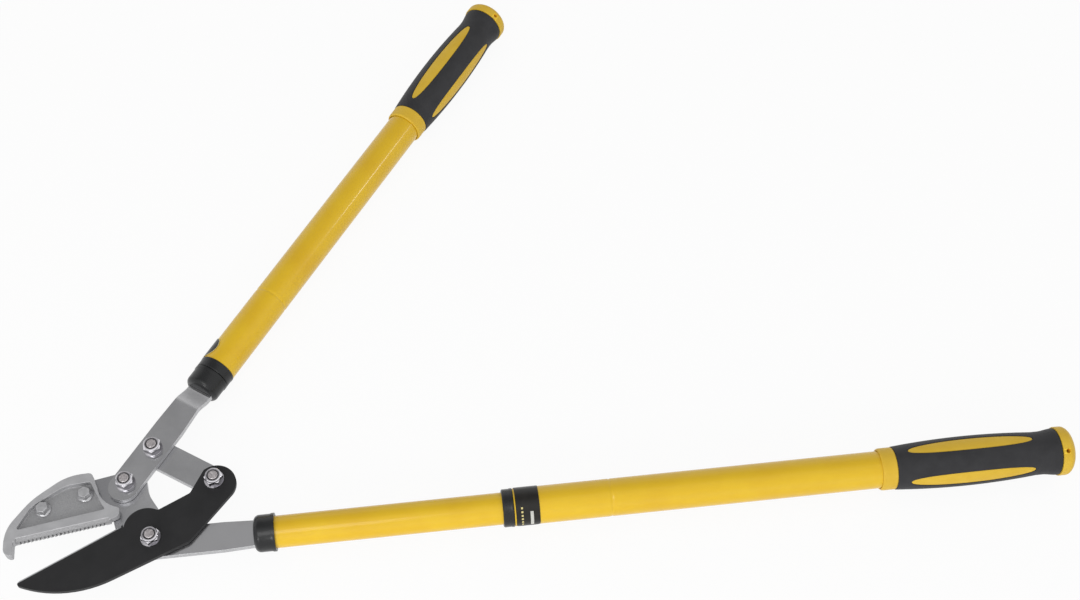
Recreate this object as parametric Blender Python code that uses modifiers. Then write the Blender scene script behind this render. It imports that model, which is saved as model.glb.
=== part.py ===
"""Telescopic lopper with a compound-lever anvil head, lying flat.

Lengths are metres and angles are degrees. The head is drawn from above in a plane
whose origin is the main pivot: X runs along the lower handle and Z towards the nuts.
Each handle is drawn along its own X, from the tube side of its ferrule.
"""

import math

import bmesh
import bpy
from mathutils import Matrix, Vector

# Plates and their two layers
PLATE_THICKNESS = 0.0050
BLADE_THICKNESS = 0.0040
LAYER_GAP = 0.0003
FIT_GAP = 0.0003
BACK_BOTTOM = -PLATE_THICKNESS / 2
BACK_TOP = PLATE_THICKNESS / 2
FRONT_BOTTOM = BACK_TOP + LAYER_GAP
BLADE_TOP = FRONT_BOTTOM + BLADE_THICKNESS
LEVER_TOP = FRONT_BOTTOM + PLATE_THICKNESS

# Pivots of the four-bar head
MAIN_PIVOT = Vector((0.0, 0.0))
TAIL_PIVOT = Vector((0.0495, 0.0449))
LEVER_PIVOT = Vector((-0.0202, 0.0498))
LINK_PIVOT = Vector((0.0009, 0.0784))
LINK_PLAY = 0.0010

# Nested tubes
OUTER_RADIUS = 0.0150
TUBE_WALL = 0.0010
GUIDE_CLEARANCE = 0.00125
INNER_RADIUS = OUTER_RADIUS - TUBE_WALL - GUIDE_CLEARANCE

# Handle axes
LOWER_AXIS_Y = -0.0029
LOWER_SEAT_X = 0.0960
UPPER_ANGLE = 54.37
UPPER_AXIS_OFFSET = 0.0006
UPPER_SEAT_X = 0.1163
BAR_WIDTH = 0.0240
TANG_MARGIN = 0.00175
TANG_WIDTH = 2 * (INNER_RADIUS - TUBE_WALL - TANG_MARGIN)
NECK_WIDTH = TANG_WIDTH + 0.0018
NECK_DEPTH = 0.0022
NECK_PLAY = 0.0008
TANG_LENGTH = 0.0380

# Fasteners
BOLT_RADIUS = 0.0040
HEX_FLATS = 0.0130
HEX_HEAD_HEIGHT = 0.0053
NUT_HEIGHT = 0.0080
NUT_HEX_HEIGHT = 0.0060
NUT_COLLAR_RADIUS = 0.0058
BOLT_SHOW = 0.0004
WASHER_RADIUS = 0.0079
WASHER_THICKNESS = 0.0012

# Jaw: the anvil's working line and the blade's edge, by angle and distance from the main pivot
ANVIL_ANGLE = 7.97
ANVIL_DISTANCE = 0.0224
EDGE_ANGLE = 26.1
EDGE_DISTANCE = 0.0221
EDGE_BEVEL = 0.0050
EDGE_LAND = 0.0002
ANVIL_TOP = 0.0090
ANVIL_BACK = 0.0003
ANVIL_RAIL = 0.0048
POCKET_FLOOR = 0.0052
TOOTH_PITCH = 0.0020
TOOTH_DEPTH = 0.0008
TOOTH_FIRST_X = -0.1040
TOOTH_LAST_X = -0.0335
ANVIL_ARC = 0.0217
ANVIL_SLOPE_WIDTH = 0.0022
ANVIL_SLOPE_HEIGHT = 0.0030
RIVET_HEAD_RADIUS = 0.0055
RIVET_SHANK_RADIUS = 0.0030
RIVET_HEAD_HEIGHT = 0.0048
RIVET_TAIL_HEIGHT = 0.0022
RIVETS = {"anvil_rivet_front": Vector((-0.0853, 0.0336)), "anvil_rivet_rear": Vector((-0.0530, 0.0428))}

# Corners of the head's outlines: x, y and the radius of the fillet there
JAW_HEEL = [(-0.0272, 0.0080, 0.012), (-0.0170, -0.0149, 0.016), (0.0560, -0.0149, 0.030)]
JAW_NECK_X = 0.0780
JAW_BACK = [
    (0.0560, 0.0091, 0.030),
    (0.0148, 0.0091, 0.030),
    (-0.0030, 0.0400, 0.030),
    (-0.0062, 0.0648, 0.013),
    (-0.0450, 0.0578, 0.0),
    (-0.0600, 0.0570, 0.020),
    (-0.0840, 0.0440, 0.060),
]
JAW_TIP_X = -0.1025
JAW_TIP_FILLET = 0.0040
JAW_THROAT_X = -0.0310
JAW_THROAT_FILLET = 0.0020
ANVIL_HEEL_X = -0.0244
ANVIL_HEEL_FILLET = 0.0025
ANVIL_NUB_HEIGHT = 0.0085
ANVIL_NUB_FILLET = 0.0032
ANVIL_NOSE_X = -0.1058
ANVIL_NOSE_FILLET = 0.0012
ANVIL_BACK_CORNERS = [
    (-0.1060, -0.0042, 0.0012),
    (-0.1128, -0.0030, 0.006),
    (-0.1130, 0.0180, 0.030),
    (-0.0935, 0.0420, 0.060),
    (-0.0662, 0.0604, 0.040),
    (-0.0479, 0.0612, 0.0030),
]
POCKET_WALL = 0.0100
POCKET_LEFT_X = -0.1040
POCKET_RIGHT_X = -0.0344
POCKET_CORNERS = [
    (-0.0390, 0.0328, 0.006),
    (-0.0482, 0.0524, 0.002),
    (-0.0670, 0.0512, 0.030),
    (-0.0930, 0.0360, 0.020),
]
BLADE_HEEL_X = -0.0222
BLADE_UNGROUND = 0.0027
BLADE_TIP_X = -0.1052
BLADE_TIP_FILLET = 0.0029
BLADE_SHOULDER = Vector((-0.0042, 0.0088))
BLADE_SHOULDER_RADIUS = 0.0173
BLADE_TAIL = Vector((0.0505, 0.0415))
BLADE_TAIL_RADIUS = 0.0162
BLADE_INNER = [(0.0055, 0.0236, 0.002), (0.0302, 0.0355, 0.004)]
BLADE_BACK = [(0.0297, -0.0064, 0.010), (-0.0628, -0.0449, 0.086)]
LEVER_NECK_X = 0.0820
LEVER_WAIST_X = 0.0580
LEVER_WAIST_FILLET = 0.080
LEVER_END_X = -0.0158
LEVER_MIDDLE_Y = -0.0005
LEVER_STEP_START = 0.0830
LEVER_STEP_END = 0.0960
LEVER_BEND_INNER = 0.0030
LEVER_BEND_OUTER = 0.0080

# Ends and lock of the tubes
FERRULE_WALL = 0.00195
FERRULE_RADIUS = INNER_RADIUS + FERRULE_WALL
FERRULE_LENGTH = 0.0165
FERRULE_FACE = 0.0030
FERRULE_LIP_RADIUS = FERRULE_RADIUS + 0.0005
FERRULE_LIP_LENGTH = 0.0022
COLLAR_RADIUS = OUTER_RADIUS + 0.0001
COLLAR_LIP_RADIUS = COLLAR_RADIUS + 0.0003
COLLAR_LENGTH = 0.0087
COLLAR_SPIGOT = 0.0170
TRAVEL = 0.1785
REST_GAP = 0.0004
CRIMP_PLACE = 0.0869
CRIMP_DEPTH = 0.0007
CRIMP_HALF_WIDTH = 0.0016
PIN_RADIUS = 0.0025
PIN_PLACE = -0.0065

# Lock inside the tubes
STEM_LENGTH = 0.0200
SPINDLE_RADIUS = 0.0050
SLEEVE_LENGTH = 0.0174
SLEEVE_SLIT = 0.0016
LOCK_SCREW_RADIUS = 0.0020
LOCK_HEAD_RADIUS = 0.0080
LOCK_HEAD_HEIGHT = 0.0030
LOCK_SCREW_LENGTH = 0.0120

# Grip, measured from the collar's head side
RING_START = 0.3055
RING_LENGTH = 0.0119
RING_RADIUS = OUTER_RADIUS + 0.0020
CORE_RADIUS = OUTER_RADIUS + 0.0012
SLEEVE_START = RING_START + RING_LENGTH
SLEEVE_RADIUS = CORE_RADIUS + 0.00115
WAIST = 0.4400
WAIST_LENGTH = 0.0055
WAIST_RADIUS = CORE_RADIUS + 0.00135
BARREL_END = WAIST - WAIST_LENGTH
BARREL_RADIUS = CORE_RADIUS + 0.00395
PEAK_SHARE = 0.509
FLARE_LENGTH = 0.0129
FLARE_RADIUS = CORE_RADIUS + 0.0028
SLEEVE_END = WAIST + FLARE_LENGTH
CAP_RADIUS = FLARE_RADIUS + 0.0009
CAP_RIM = 0.0055
CAP_LENGTH = 0.0139
CAP_SPIGOT = 0.0140
HANG_HOLE_RADIUS = 0.0019
HANG_HOLE_PLACE = 0.0040
WINDOW_FRONT_MARGIN = 0.0108
WINDOW_REAR_MARGIN = 0.0030
WINDOW_START = SLEEVE_START + WINDOW_FRONT_MARGIN
WINDOW_END = BARREL_END - WINDOW_REAR_MARGIN
WINDOW_WIDTH = 0.0128
WINDOW_SINK = 0.0004

# Stickers
BAND_START = 0.0105
BAND_LENGTH = 0.0205
BAND_THICKNESS = 0.0002
BAND_SPAN = 200.0
BAND_TURN = 5.0
BADGE_RADIUS = 0.0100
BADGE_PLACE = 0.0205

# Handle poses: extension at rest and the roll of the grip's windows, hang hole and sticker
HANDLES = {
    "a": {"extension": TRAVEL, "window_roll": -18.0, "hole_roll": 28.0},
    "b": {"extension": 0.0, "window_roll": -8.0, "hole_roll": 38.0, "badge_roll": -60.0},
}

ROUND_STEPS = 32
BOLT_STEPS = 16
ELLIPSE_STEPS = 20
ARC_STEP = 12.0
MERGE = 0.00001

MODEL_NAME = "telescopic_lopper"
CUTTERS_NAME = "cutters"


def clear_scene():
    for item in list(bpy.data.objects):
        bpy.data.objects.remove(item, do_unlink=True)


def new_collection(name):
    group = bpy.data.collections.new(name)
    bpy.context.scene.collection.children.link(group)
    return group


def linear(value):
    value /= 255.0
    return value / 12.92 if value <= 0.04045 else ((value + 0.055) / 1.055) ** 2.4


def material(name, colour, roughness, metallic):
    made = bpy.data.materials.get(name)
    if made is None:
        made = bpy.data.materials.new(name)
        made.use_nodes = True
        shader = made.node_tree.nodes["Principled BSDF"]
        shader.inputs["Base Color"].default_value = (*[linear(v) for v in colour], 1.0)
        shader.inputs["Roughness"].default_value = roughness
        shader.inputs["Metallic"].default_value = metallic
    return made


def satin_steel():
    return material("satin_steel", (150, 150, 152), 0.35, 1.0)


def zinc_steel():
    return material("zinc_steel", (196, 194, 198), 0.25, 1.0)


def cast_aluminium():
    return material("cast_aluminium", (158, 158, 160), 0.45, 1.0)


def coated_blade():
    return material("coated_blade", (46, 46, 47), 0.45, 0.0)


def black_plastic():
    return material("black_plastic", (46, 47, 48), 0.4, 0.0)


def grip_rubber():
    return material("grip_rubber", (60, 60, 61), 0.7, 0.0)


def yellow_paint():
    return material("yellow_paint", (222, 182, 32), 0.3, 0.0)


def yellow_plastic():
    return material("yellow_plastic", (224, 188, 56), 0.4, 0.0)


def white_plastic():
    return material("white_plastic", (225, 225, 220), 0.45, 0.0)


def sticker_film():
    return material("sticker_film", (40, 38, 36), 0.3, 0.0)


def arc(centre, radius, start, end, step=ARC_STEP):
    """Points on an arc from the start to the end angle, both included."""
    count = max(1, math.ceil(abs(end - start) / step))
    points = []
    for i in range(count + 1):
        angle = math.radians(start + (end - start) * i / count)
        points.append(Vector((centre[0] + radius * math.cos(angle), centre[1] + radius * math.sin(angle))))
    return points


def circle(centre, radius, count=BOLT_STEPS):
    return arc(centre, radius, 0.0, 360.0, 360.0 / count)[:-1]


def rounded(corners):
    """An outline through corners (x, y, radius), each corner replaced by its fillet arc."""
    points = []
    count = len(corners)
    for i, (x, y, radius) in enumerate(corners):
        here = Vector((x, y))
        if radius == 0.0:
            points.append(here)
            continue
        back = (Vector(corners[i - 1][:2]) - here).normalized()
        ahead = (Vector(corners[(i + 1) % count][:2]) - here).normalized()
        half = back.angle(ahead) / 2
        reach = radius / math.tan(half)
        centre = here + (back + ahead).normalized() * (radius / math.sin(half))
        start = here + back * reach - centre
        end = here + ahead * reach - centre
        first = math.degrees(math.atan2(start.y, start.x))
        sweep = math.degrees(math.atan2(start.x * end.y - start.y * end.x, start.dot(end)))
        points.extend(arc(centre, radius, first, first + sweep))
    return points


def line_point(angle, distance, x):
    """The point at x on the line that lies this far above the main pivot at this angle."""
    slope = math.radians(angle)
    return Vector((x, x * math.tan(slope) + distance / math.cos(slope)))


def link_object(mesh, name, group, finish):
    made = bpy.data.objects.new(name, mesh)
    group.objects.link(made)
    if finish is not None:
        mesh.materials.clear()
        mesh.materials.append(finish)
    return made


def as_cutter(made):
    made.hide_render = True
    made.display_type = "WIRE"
    return made


def flat_mesh(outline, holes, bottom, top):
    """A flat outline with holes, filled and given its thickness, as a welded mesh."""
    curve = bpy.data.curves.new("outline", "CURVE")
    curve.dimensions = "2D"
    curve.fill_mode = "BOTH"
    curve.extrude = (top - bottom) / 2
    for points in [outline, *holes]:
        spline = curve.splines.new("POLY")
        spline.points.add(len(points) - 1)
        for slot, point in zip(spline.points, points):
            slot.co = (point[0], point[1], 0.0, 1.0)
        spline.use_cyclic_u = True
    carrier = bpy.data.objects.new("outline", curve)
    bpy.context.scene.collection.objects.link(carrier)
    bpy.context.view_layer.update()
    depsgraph = bpy.context.evaluated_depsgraph_get()
    mesh = bpy.data.meshes.new_from_object(carrier.evaluated_get(depsgraph))
    bpy.data.objects.remove(carrier, do_unlink=True)
    bpy.data.curves.remove(curve)
    shape = bmesh.new()
    shape.from_mesh(mesh)
    bmesh.ops.remove_doubles(shape, verts=shape.verts, dist=MERGE)
    bmesh.ops.translate(shape, verts=shape.verts, vec=(0.0, 0.0, (top + bottom) / 2))
    bmesh.ops.recalc_face_normals(shape, faces=shape.faces)
    shape.to_mesh(mesh)
    shape.free()
    return mesh


def plate(name, outline, holes, bottom, top, group, finish=None):
    return link_object(flat_mesh(outline, holes, bottom, top), name, group, finish)


def turned(name, profile, group, finish=None, steps=ROUND_STEPS, closed=True):
    """A profile of (place, radius) points turned about the X axis.

    The outer side is listed with its place growing, and the bore on the way back. A solid that
    reaches the axis lists radius 0 at both ends and is not closed.
    """
    mesh = bpy.data.meshes.new(name)
    count = len(profile)
    edges = [(i, (i + 1) % count) for i in range(count if closed else count - 1)]
    mesh.from_pydata([(radius, 0.0, -place) for place, radius in profile], edges, [])
    made = link_object(mesh, name, group, finish)
    made.rotation_euler = (0.0, math.radians(-90.0), 0.0)
    screw = made.modifiers.new("turn", "SCREW")
    screw.axis = "Z"
    screw.steps = steps
    screw.render_steps = steps
    screw.use_merge_vertices = True
    screw.merge_threshold = MERGE
    screw.use_smooth_shade = True
    return made


def boolean(made, other, operation="DIFFERENCE"):
    cut = made.modifiers.new(operation.lower(), "BOOLEAN")
    cut.operation = operation
    cut.object = other
    cut.solver = "EXACT"


def hang_on(made, parent, location=(0.0, 0.0, 0.0)):
    made.parent = parent
    made.location = location
    return made


def empty(name, parent, location, turn=0.0):
    made = bpy.data.objects.new(name, None)
    made.empty_display_size = 0.02
    MODEL.objects.link(made)
    made.parent = parent
    made.location = location
    made.rotation_euler = (0.0, 0.0, math.radians(turn))
    return made


def hex_mesh(bottom, top):
    """A hexagonal prism across the standard flats."""
    shape = bmesh.new()
    radius = HEX_FLATS / math.sqrt(3.0)
    bmesh.ops.create_cone(
        shape, cap_ends=True, segments=6, radius1=radius, radius2=radius, depth=top - bottom
    )
    bmesh.ops.translate(shape, verts=shape.verts, vec=(0.0, 0.0, (top + bottom) / 2))
    mesh = bpy.data.meshes.new("hexagon")
    shape.to_mesh(mesh)
    shape.free()
    return mesh


def upright(name, profile, group, finish=None, steps=BOLT_STEPS, closed=False):
    """A profile turned about Z: (height, radius) points, listed downwards on the outer side."""
    made = turned(name, [(-height, radius) for height, radius in profile], group, finish, steps, closed)
    made.rotation_euler = (0.0, 0.0, 0.0)
    return made


def hex_bolt(name, top, parent):
    """A hex bolt with its head under the back plate and its end at this height."""
    seat = BACK_BOTTOM - FIT_GAP
    tip = 0.0006
    shank = [
        (top, 0.0),
        (top, BOLT_RADIUS - tip),
        (top - tip, BOLT_RADIUS),
        (seat - HEX_HEAD_HEIGHT / 2, BOLT_RADIUS),
        (seat - HEX_HEAD_HEIGHT / 2, 0.0),
    ]
    bolt = hang_on(upright(name, shank, MODEL, zinc_steel()), parent)
    head = link_object(hex_mesh(seat - HEX_HEAD_HEIGHT, seat), name + "_head", CUTTERS, None)
    boolean(bolt, hang_on(as_cutter(head), parent), "UNION")
    return bolt


def lock_nut(name, seat, turn, parent):
    """A self-locking hex nut: hexagon below, round collar above, clear of the bolt."""
    nut = link_object(hex_mesh(seat, seat + NUT_HEX_HEIGHT), name, MODEL, zinc_steel())
    hang_on(nut, parent)
    nut.rotation_euler = (0.0, 0.0, math.radians(turn))
    round_off = 0.0012
    collar_top = seat + NUT_HEIGHT
    collar = [
        (collar_top, 0.0),
        (collar_top, NUT_COLLAR_RADIUS - round_off),
        (collar_top - round_off, NUT_COLLAR_RADIUS),
        (seat + NUT_HEX_HEIGHT / 2, NUT_COLLAR_RADIUS),
        (seat + NUT_HEX_HEIGHT / 2, 0.0),
    ]
    boolean(nut, hang_on(as_cutter(upright(name + "_collar", collar, CUTTERS)), parent), "UNION")
    bore = BOLT_RADIUS + FIT_GAP
    hole = [(collar_top + 0.001, 0.0), (collar_top + 0.001, bore), (seat - 0.001, bore), (seat - 0.001, 0.0)]
    boolean(nut, hang_on(as_cutter(upright(name + "_bore", hole, CUTTERS)), parent))
    return nut


def washer(name, seat, parent):
    ring = plate(
        name,
        circle((0.0, 0.0), WASHER_RADIUS, ROUND_STEPS),
        [circle((0.0, 0.0), BOLT_RADIUS + FIT_GAP)],
        seat,
        seat + WASHER_THICKNESS,
        MODEL,
        zinc_steel(),
    )
    return hang_on(ring, parent)


def pivot_set(stem, front_top, with_washer, nut_turn, bolt_parent):
    """The bolt and locking nut of one pivot, with a washer where the front piece is the blade."""
    seat = front_top + FIT_GAP
    if with_washer:
        washer(stem + "_washer", seat, bolt_parent)
        seat += WASHER_THICKNESS + FIT_GAP
    lock_nut(stem + "_nut", seat, nut_turn, bolt_parent)
    hex_bolt(stem + "_bolt", seat + NUT_HEIGHT + BOLT_SHOW, bolt_parent)


def bolt_hole(pivot, play=FIT_GAP):
    return circle(pivot, BOLT_RADIUS + play)


def rivet_hole(centre):
    return circle(centre, RIVET_SHANK_RADIUS + FIT_GAP)


def tang_corners(neck_x, neck_y, axis_y, seat_x):
    """The end of a bar: a neck as far as the ferrule's face, then the tang inside the inner tube."""
    neck = NECK_WIDTH / 2
    half = TANG_WIDTH / 2
    shoulder = seat_x - FERRULE_LENGTH + NECK_DEPTH
    end = seat_x - FERRULE_LENGTH + TANG_LENGTH
    return [
        (neck_x, neck_y - neck, 0.02),
        (shoulder, neck_y - neck, 0.0),
        (shoulder, axis_y - half, 0.0),
        (end, axis_y - half, 0.002),
        (end, axis_y + half, 0.002),
        (shoulder, axis_y + half, 0.0),
        (shoulder, neck_y + neck, 0.0),
        (neck_x, neck_y + neck, 0.02),
    ]


def jaw_plate(parent):
    """The back plate: it carries the anvil, the main pivot, the lever pivot and the lower handle."""
    rail = ANVIL_DISTANCE + ANVIL_RAIL + FIT_GAP
    tip = line_point(ANVIL_ANGLE, rail, JAW_TIP_X)
    throat = line_point(ANVIL_ANGLE, rail, JAW_THROAT_X)
    corners = [
        (tip.x, tip.y, JAW_TIP_FILLET),
        (throat.x, throat.y, JAW_THROAT_FILLET),
        *JAW_HEEL,
        *tang_corners(JAW_NECK_X, LOWER_AXIS_Y, LOWER_AXIS_Y, LOWER_SEAT_X),
        *JAW_BACK,
    ]
    holes = [bolt_hole(MAIN_PIVOT), bolt_hole(LEVER_PIVOT)]
    holes += [rivet_hole(centre) for centre in RIVETS.values()]
    pin = Vector((LOWER_SEAT_X + PIN_PLACE, LOWER_AXIS_Y))
    holes.append(circle(pin, PIN_RADIUS + FIT_GAP))
    made = plate("jaw_plate", rounded(corners), holes, BACK_BOTTOM, BACK_TOP, MODEL, satin_steel())
    return hang_on(made, parent)


def tooth_line():
    """The working line of the anvil from heel to hook, with its cross teeth."""
    points = []
    x = TOOTH_LAST_X
    while x - TOOTH_PITCH >= TOOTH_FIRST_X:
        points.append(line_point(ANVIL_ANGLE, ANVIL_DISTANCE, x))
        points.append(line_point(ANVIL_ANGLE, ANVIL_DISTANCE, x - TOOTH_PITCH * 0.45))
        points.append(line_point(ANVIL_ANGLE, ANVIL_DISTANCE + TOOTH_DEPTH, x - TOOTH_PITCH * 0.72))
        x -= TOOTH_PITCH
    return points


def anvil(parent):
    """The cast anvil: toothed working face, hook, sunk pocket and a back relieved for the plate."""
    heel = line_point(ANVIL_ANGLE, ANVIL_DISTANCE, ANVIL_HEEL_X)
    nose = line_point(ANVIL_ANGLE, ANVIL_DISTANCE, ANVIL_NOSE_X)
    back = [(nose.x, nose.y, ANVIL_NOSE_FILLET), *ANVIL_BACK_CORNERS]
    side = arc(LEVER_PIVOT, ANVIL_ARC, 188.0, 256.0, 8.0)
    heel_corner = [
        (heel.x, heel.y + ANVIL_NUB_HEIGHT, ANVIL_NUB_FILLET),
        (heel.x, heel.y, ANVIL_HEEL_FILLET),
    ]
    hook = rounded([(TOOTH_LAST_X, heel.y, 0.0), *back, (side[0].x, side[0].y, 0.0)])[1:-1]
    nub = rounded([(side[-1].x, side[-1].y, 0.0), *heel_corner, (TOOTH_LAST_X, heel.y, 0.0)])[1:-1]
    outline = tooth_line() + hook + side + nub
    holes = [rivet_hole(centre) for centre in RIVETS.values()]
    made = plate("anvil", outline, holes, ANVIL_BACK, ANVIL_TOP, MODEL, cast_aluminium())
    hang_on(made, parent)

    rail_left = line_point(ANVIL_ANGLE, ANVIL_DISTANCE + ANVIL_RAIL, ANVIL_NOSE_X * 1.2)
    rail_right = line_point(ANVIL_ANGLE, ANVIL_DISTANCE + ANVIL_RAIL, JAW_THROAT_X - 2 * FIT_GAP)
    beyond = LINK_PIVOT.y
    relief = [
        rail_left,
        rail_right,
        Vector((rail_right.x, 0.0)),
        Vector((0.0, 0.0)),
        Vector((0.0, beyond)),
        Vector((rail_left.x, beyond)),
    ]
    bed = plate("anvil_relief", relief, [], -0.010, FRONT_BOTTOM, CUTTERS)
    boolean(made, hang_on(as_cutter(bed), parent))

    slope = (ANVIL_SLOPE_WIDTH / ANVIL_SLOPE_HEIGHT)
    reach = 0.0020
    section = [
        Vector((-reach * slope, ANVIL_TOP - ANVIL_SLOPE_HEIGHT - reach)),
        Vector((ANVIL_SLOPE_WIDTH + reach * slope, ANVIL_TOP + reach)),
        Vector((-reach * slope, ANVIL_TOP + reach)),
    ]
    start = line_point(ANVIL_ANGLE, ANVIL_DISTANCE, TOOTH_FIRST_X)
    boolean(made, edge_cutter("anvil_slope", section, start, ANVIL_ANGLE, 0.0, -TOOTH_FIRST_X, parent))

    wall = ANVIL_DISTANCE + POCKET_WALL
    pocket_left = line_point(ANVIL_ANGLE, wall, POCKET_LEFT_X)
    pocket_right = line_point(ANVIL_ANGLE, wall, POCKET_RIGHT_X)
    pocket = rounded([
        (pocket_left.x, pocket_left.y, 0.0015),
        (pocket_right.x, pocket_right.y, 0.001),
        *POCKET_CORNERS,
    ])
    sunk = plate("anvil_pocket", pocket, [], POCKET_FLOOR, ANVIL_TOP + 0.001, CUTTERS)
    boolean(made, hang_on(as_cutter(sunk), parent))
    return made


def rivet(name, centre, parent):
    """A round-headed rivet through the anvil's floor and the jaw plate."""
    seat = POCKET_FLOOR + FIT_GAP
    back = BACK_BOTTOM - FIT_GAP
    top = seat + RIVET_HEAD_HEIGHT
    profile = [
        (top, 0.0),
        (top, RIVET_HEAD_RADIUS * 0.55),
        (top - RIVET_HEAD_HEIGHT * 0.2, RIVET_HEAD_RADIUS * 0.85),
        (seat + RIVET_HEAD_HEIGHT * 0.3, RIVET_HEAD_RADIUS),
        (seat, RIVET_HEAD_RADIUS),
        (seat, RIVET_SHANK_RADIUS),
        (back, RIVET_SHANK_RADIUS),
        (back, RIVET_HEAD_RADIUS * 0.9),
        (back - RIVET_TAIL_HEIGHT, RIVET_HEAD_RADIUS * 0.6),
        (back - RIVET_TAIL_HEIGHT, 0.0),
    ]
    made = upright(name, profile, MODEL, zinc_steel())
    return hang_on(made, parent, (centre.x, centre.y, 0.0))


def edge_cutter(name, section, start, angle, first, last, parent):
    """A prism along an edge line: its section is given as (across, height) from the line."""
    made = plate(name, section, [], first, last, CUTTERS)
    along = Vector((math.cos(math.radians(angle)), math.sin(math.radians(angle)), 0.0))
    across = Vector((-along.y, along.x, 0.0))
    up = Vector((0.0, 0.0, 1.0))
    made.parent = parent
    turn = Matrix((across, up, along)).transposed().to_4x4()
    made.matrix_local = Matrix.Translation((start.x, start.y, 0.0)) @ turn
    return as_cutter(made)


def blade(parent):
    """The coated blade with its tail; both sides of the cutting edge are ground to a land."""
    heel = line_point(EDGE_ANGLE, EDGE_DISTANCE, BLADE_HEEL_X)
    tip = line_point(EDGE_ANGLE, EDGE_DISTANCE, BLADE_TIP_X)
    shoulder = arc(BLADE_SHOULDER, BLADE_SHOULDER_RADIUS, 172.0, 62.0)
    tail_end = arc(BLADE_TAIL, BLADE_TAIL_RADIUS, 126.0, -36.0)
    inner = rounded([
        (shoulder[-1].x, shoulder[-1].y, 0.0),
        *BLADE_INNER,
        (tail_end[0].x, tail_end[0].y, 0.0),
    ])[1:-1]
    back = rounded([
        (tail_end[-1].x, tail_end[-1].y, 0.0),
        *BLADE_BACK,
        (tip.x, tip.y, BLADE_TIP_FILLET),
        (heel.x, heel.y, 0.0),
    ])[1:]
    outline = shoulder + inner + tail_end + back
    holes = [bolt_hole(MAIN_PIVOT), bolt_hole(TAIL_PIVOT)]
    made = plate("blade", outline, holes, FRONT_BOTTOM, BLADE_TOP, MODEL, coated_blade())
    hang_on(made, parent)

    middle = (FRONT_BOTTOM + BLADE_TOP) / 2
    land = EDGE_LAND / 2
    drop = BLADE_THICKNESS / 2
    slope = (drop - land) / EDGE_BEVEL
    reach = 0.0020
    start = line_point(EDGE_ANGLE, EDGE_DISTANCE, BLADE_HEEL_X)
    length = (BLADE_HEEL_X - BLADE_TIP_X) / math.cos(math.radians(EDGE_ANGLE))
    for side, face in ((1.0, "front"), (-1.0, "rear")):
        section = [
            Vector((reach, middle + side * (land - slope * reach))),
            Vector((reach, middle + side * (drop + slope * reach))),
            Vector((-EDGE_BEVEL - reach, middle + side * (drop + slope * reach))),
        ]
        cutter = edge_cutter("blade_bevel_" + face, section, start, EDGE_ANGLE, -length, -BLADE_UNGROUND, parent)
        boolean(made, cutter)
    return made


def link_bar(parent):
    """The flat link behind the blade's tail, drawn along X from the link pivot to the tail pivot."""
    length = (TAIL_PIVOT - LINK_PIVOT).length
    half = BAR_WIDTH / 2
    outline = arc((0.0, 0.0), half, 90.0, 270.0) + arc((length, 0.0), half, -90.0, 90.0)
    holes = [bolt_hole((0.0, 0.0)), bolt_hole((length, 0.0), LINK_PLAY)]
    made = plate("link_bar", outline, holes, BACK_BOTTOM, BACK_TOP, MODEL, satin_steel())
    hang_on(made, parent)
    towards = TAIL_PIVOT - LINK_PIVOT
    made.rotation_euler = (0.0, 0.0, math.atan2(towards.y, towards.x))
    return made


def lever_bar(parent, link_place):
    """The upper handle's bar: in front of the jaw plate, then stepped back into the tube's plane."""
    half = BAR_WIDTH / 2
    low = LEVER_MIDDLE_Y - half
    high = LEVER_MIDDLE_Y + half
    corners = [
        (LEVER_END_X, low, half - 0.0001),
        (LEVER_WAIST_X, low, LEVER_WAIST_FILLET),
        *tang_corners(LEVER_NECK_X, -0.0001, UPPER_AXIS_OFFSET, UPPER_SEAT_X),
        (LEVER_WAIST_X, high, LEVER_WAIST_FILLET),
        (LEVER_END_X, high, half - 0.0001),
    ]
    holes = [
        bolt_hole((0.0, 0.0)),
        bolt_hole(link_place),
        circle((UPPER_SEAT_X + PIN_PLACE, UPPER_AXIS_OFFSET), PIN_RADIUS + FIT_GAP),
    ]
    made = plate("lever_bar", rounded(corners), holes, -0.02, 0.02, MODEL, satin_steel())
    hang_on(made, parent)

    before = 2 * LEVER_END_X
    beyond = UPPER_SEAT_X + TANG_LENGTH
    step_start = LEVER_STEP_START
    step_end = LEVER_STEP_END
    lean = (LEVER_TOP - BACK_TOP) / (step_end - step_start)
    shift = PLATE_THICKNESS * (math.sqrt(1.0 + lean * lean) - 1.0) / lean
    profile = [
        (before, FRONT_BOTTOM, 0.0),
        (step_start - shift, FRONT_BOTTOM, LEVER_BEND_INNER),
        (step_end - shift, BACK_BOTTOM, LEVER_BEND_OUTER),
        (beyond, BACK_BOTTOM, 0.0),
        (beyond, BACK_TOP, 0.0),
        (step_end, BACK_TOP, LEVER_BEND_INNER),
        (step_start, LEVER_TOP, LEVER_BEND_OUTER),
        (before, LEVER_TOP, 0.0),
    ]
    side = plate("lever_bar_side", rounded(profile), [], -0.03, 0.03, CUTTERS)
    side.rotation_euler = (math.radians(90.0), 0.0, 0.0)
    side.parent = parent
    boolean(made, as_cutter(side), "INTERSECT")
    return made


def slot_cutter(name, width, start, end, parent):
    """A box that leaves a running clearance all round a bar of this width."""
    half = width / 2 + FIT_GAP
    outline = [Vector((start, -half)), Vector((end, -half)), Vector((end, half)), Vector((start, half))]
    made = plate(name, outline, [], BACK_BOTTOM - FIT_GAP, BACK_TOP + FIT_GAP, CUTTERS)
    return hang_on(as_cutter(made), parent)


def cross_hole(name, place, radius, reach, roll, parent):
    """A round cutter across a handle at this place, turned this far about the handle."""
    shape = [(reach, 0.0), (reach, radius), (-reach, radius), (-reach, 0.0)]
    made = upright(name, shape, CUTTERS)
    hang_on(as_cutter(made), parent, (place, 0.0, 0.0))
    made.rotation_euler = (math.radians(roll), 0.0, 0.0)
    return made


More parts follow.
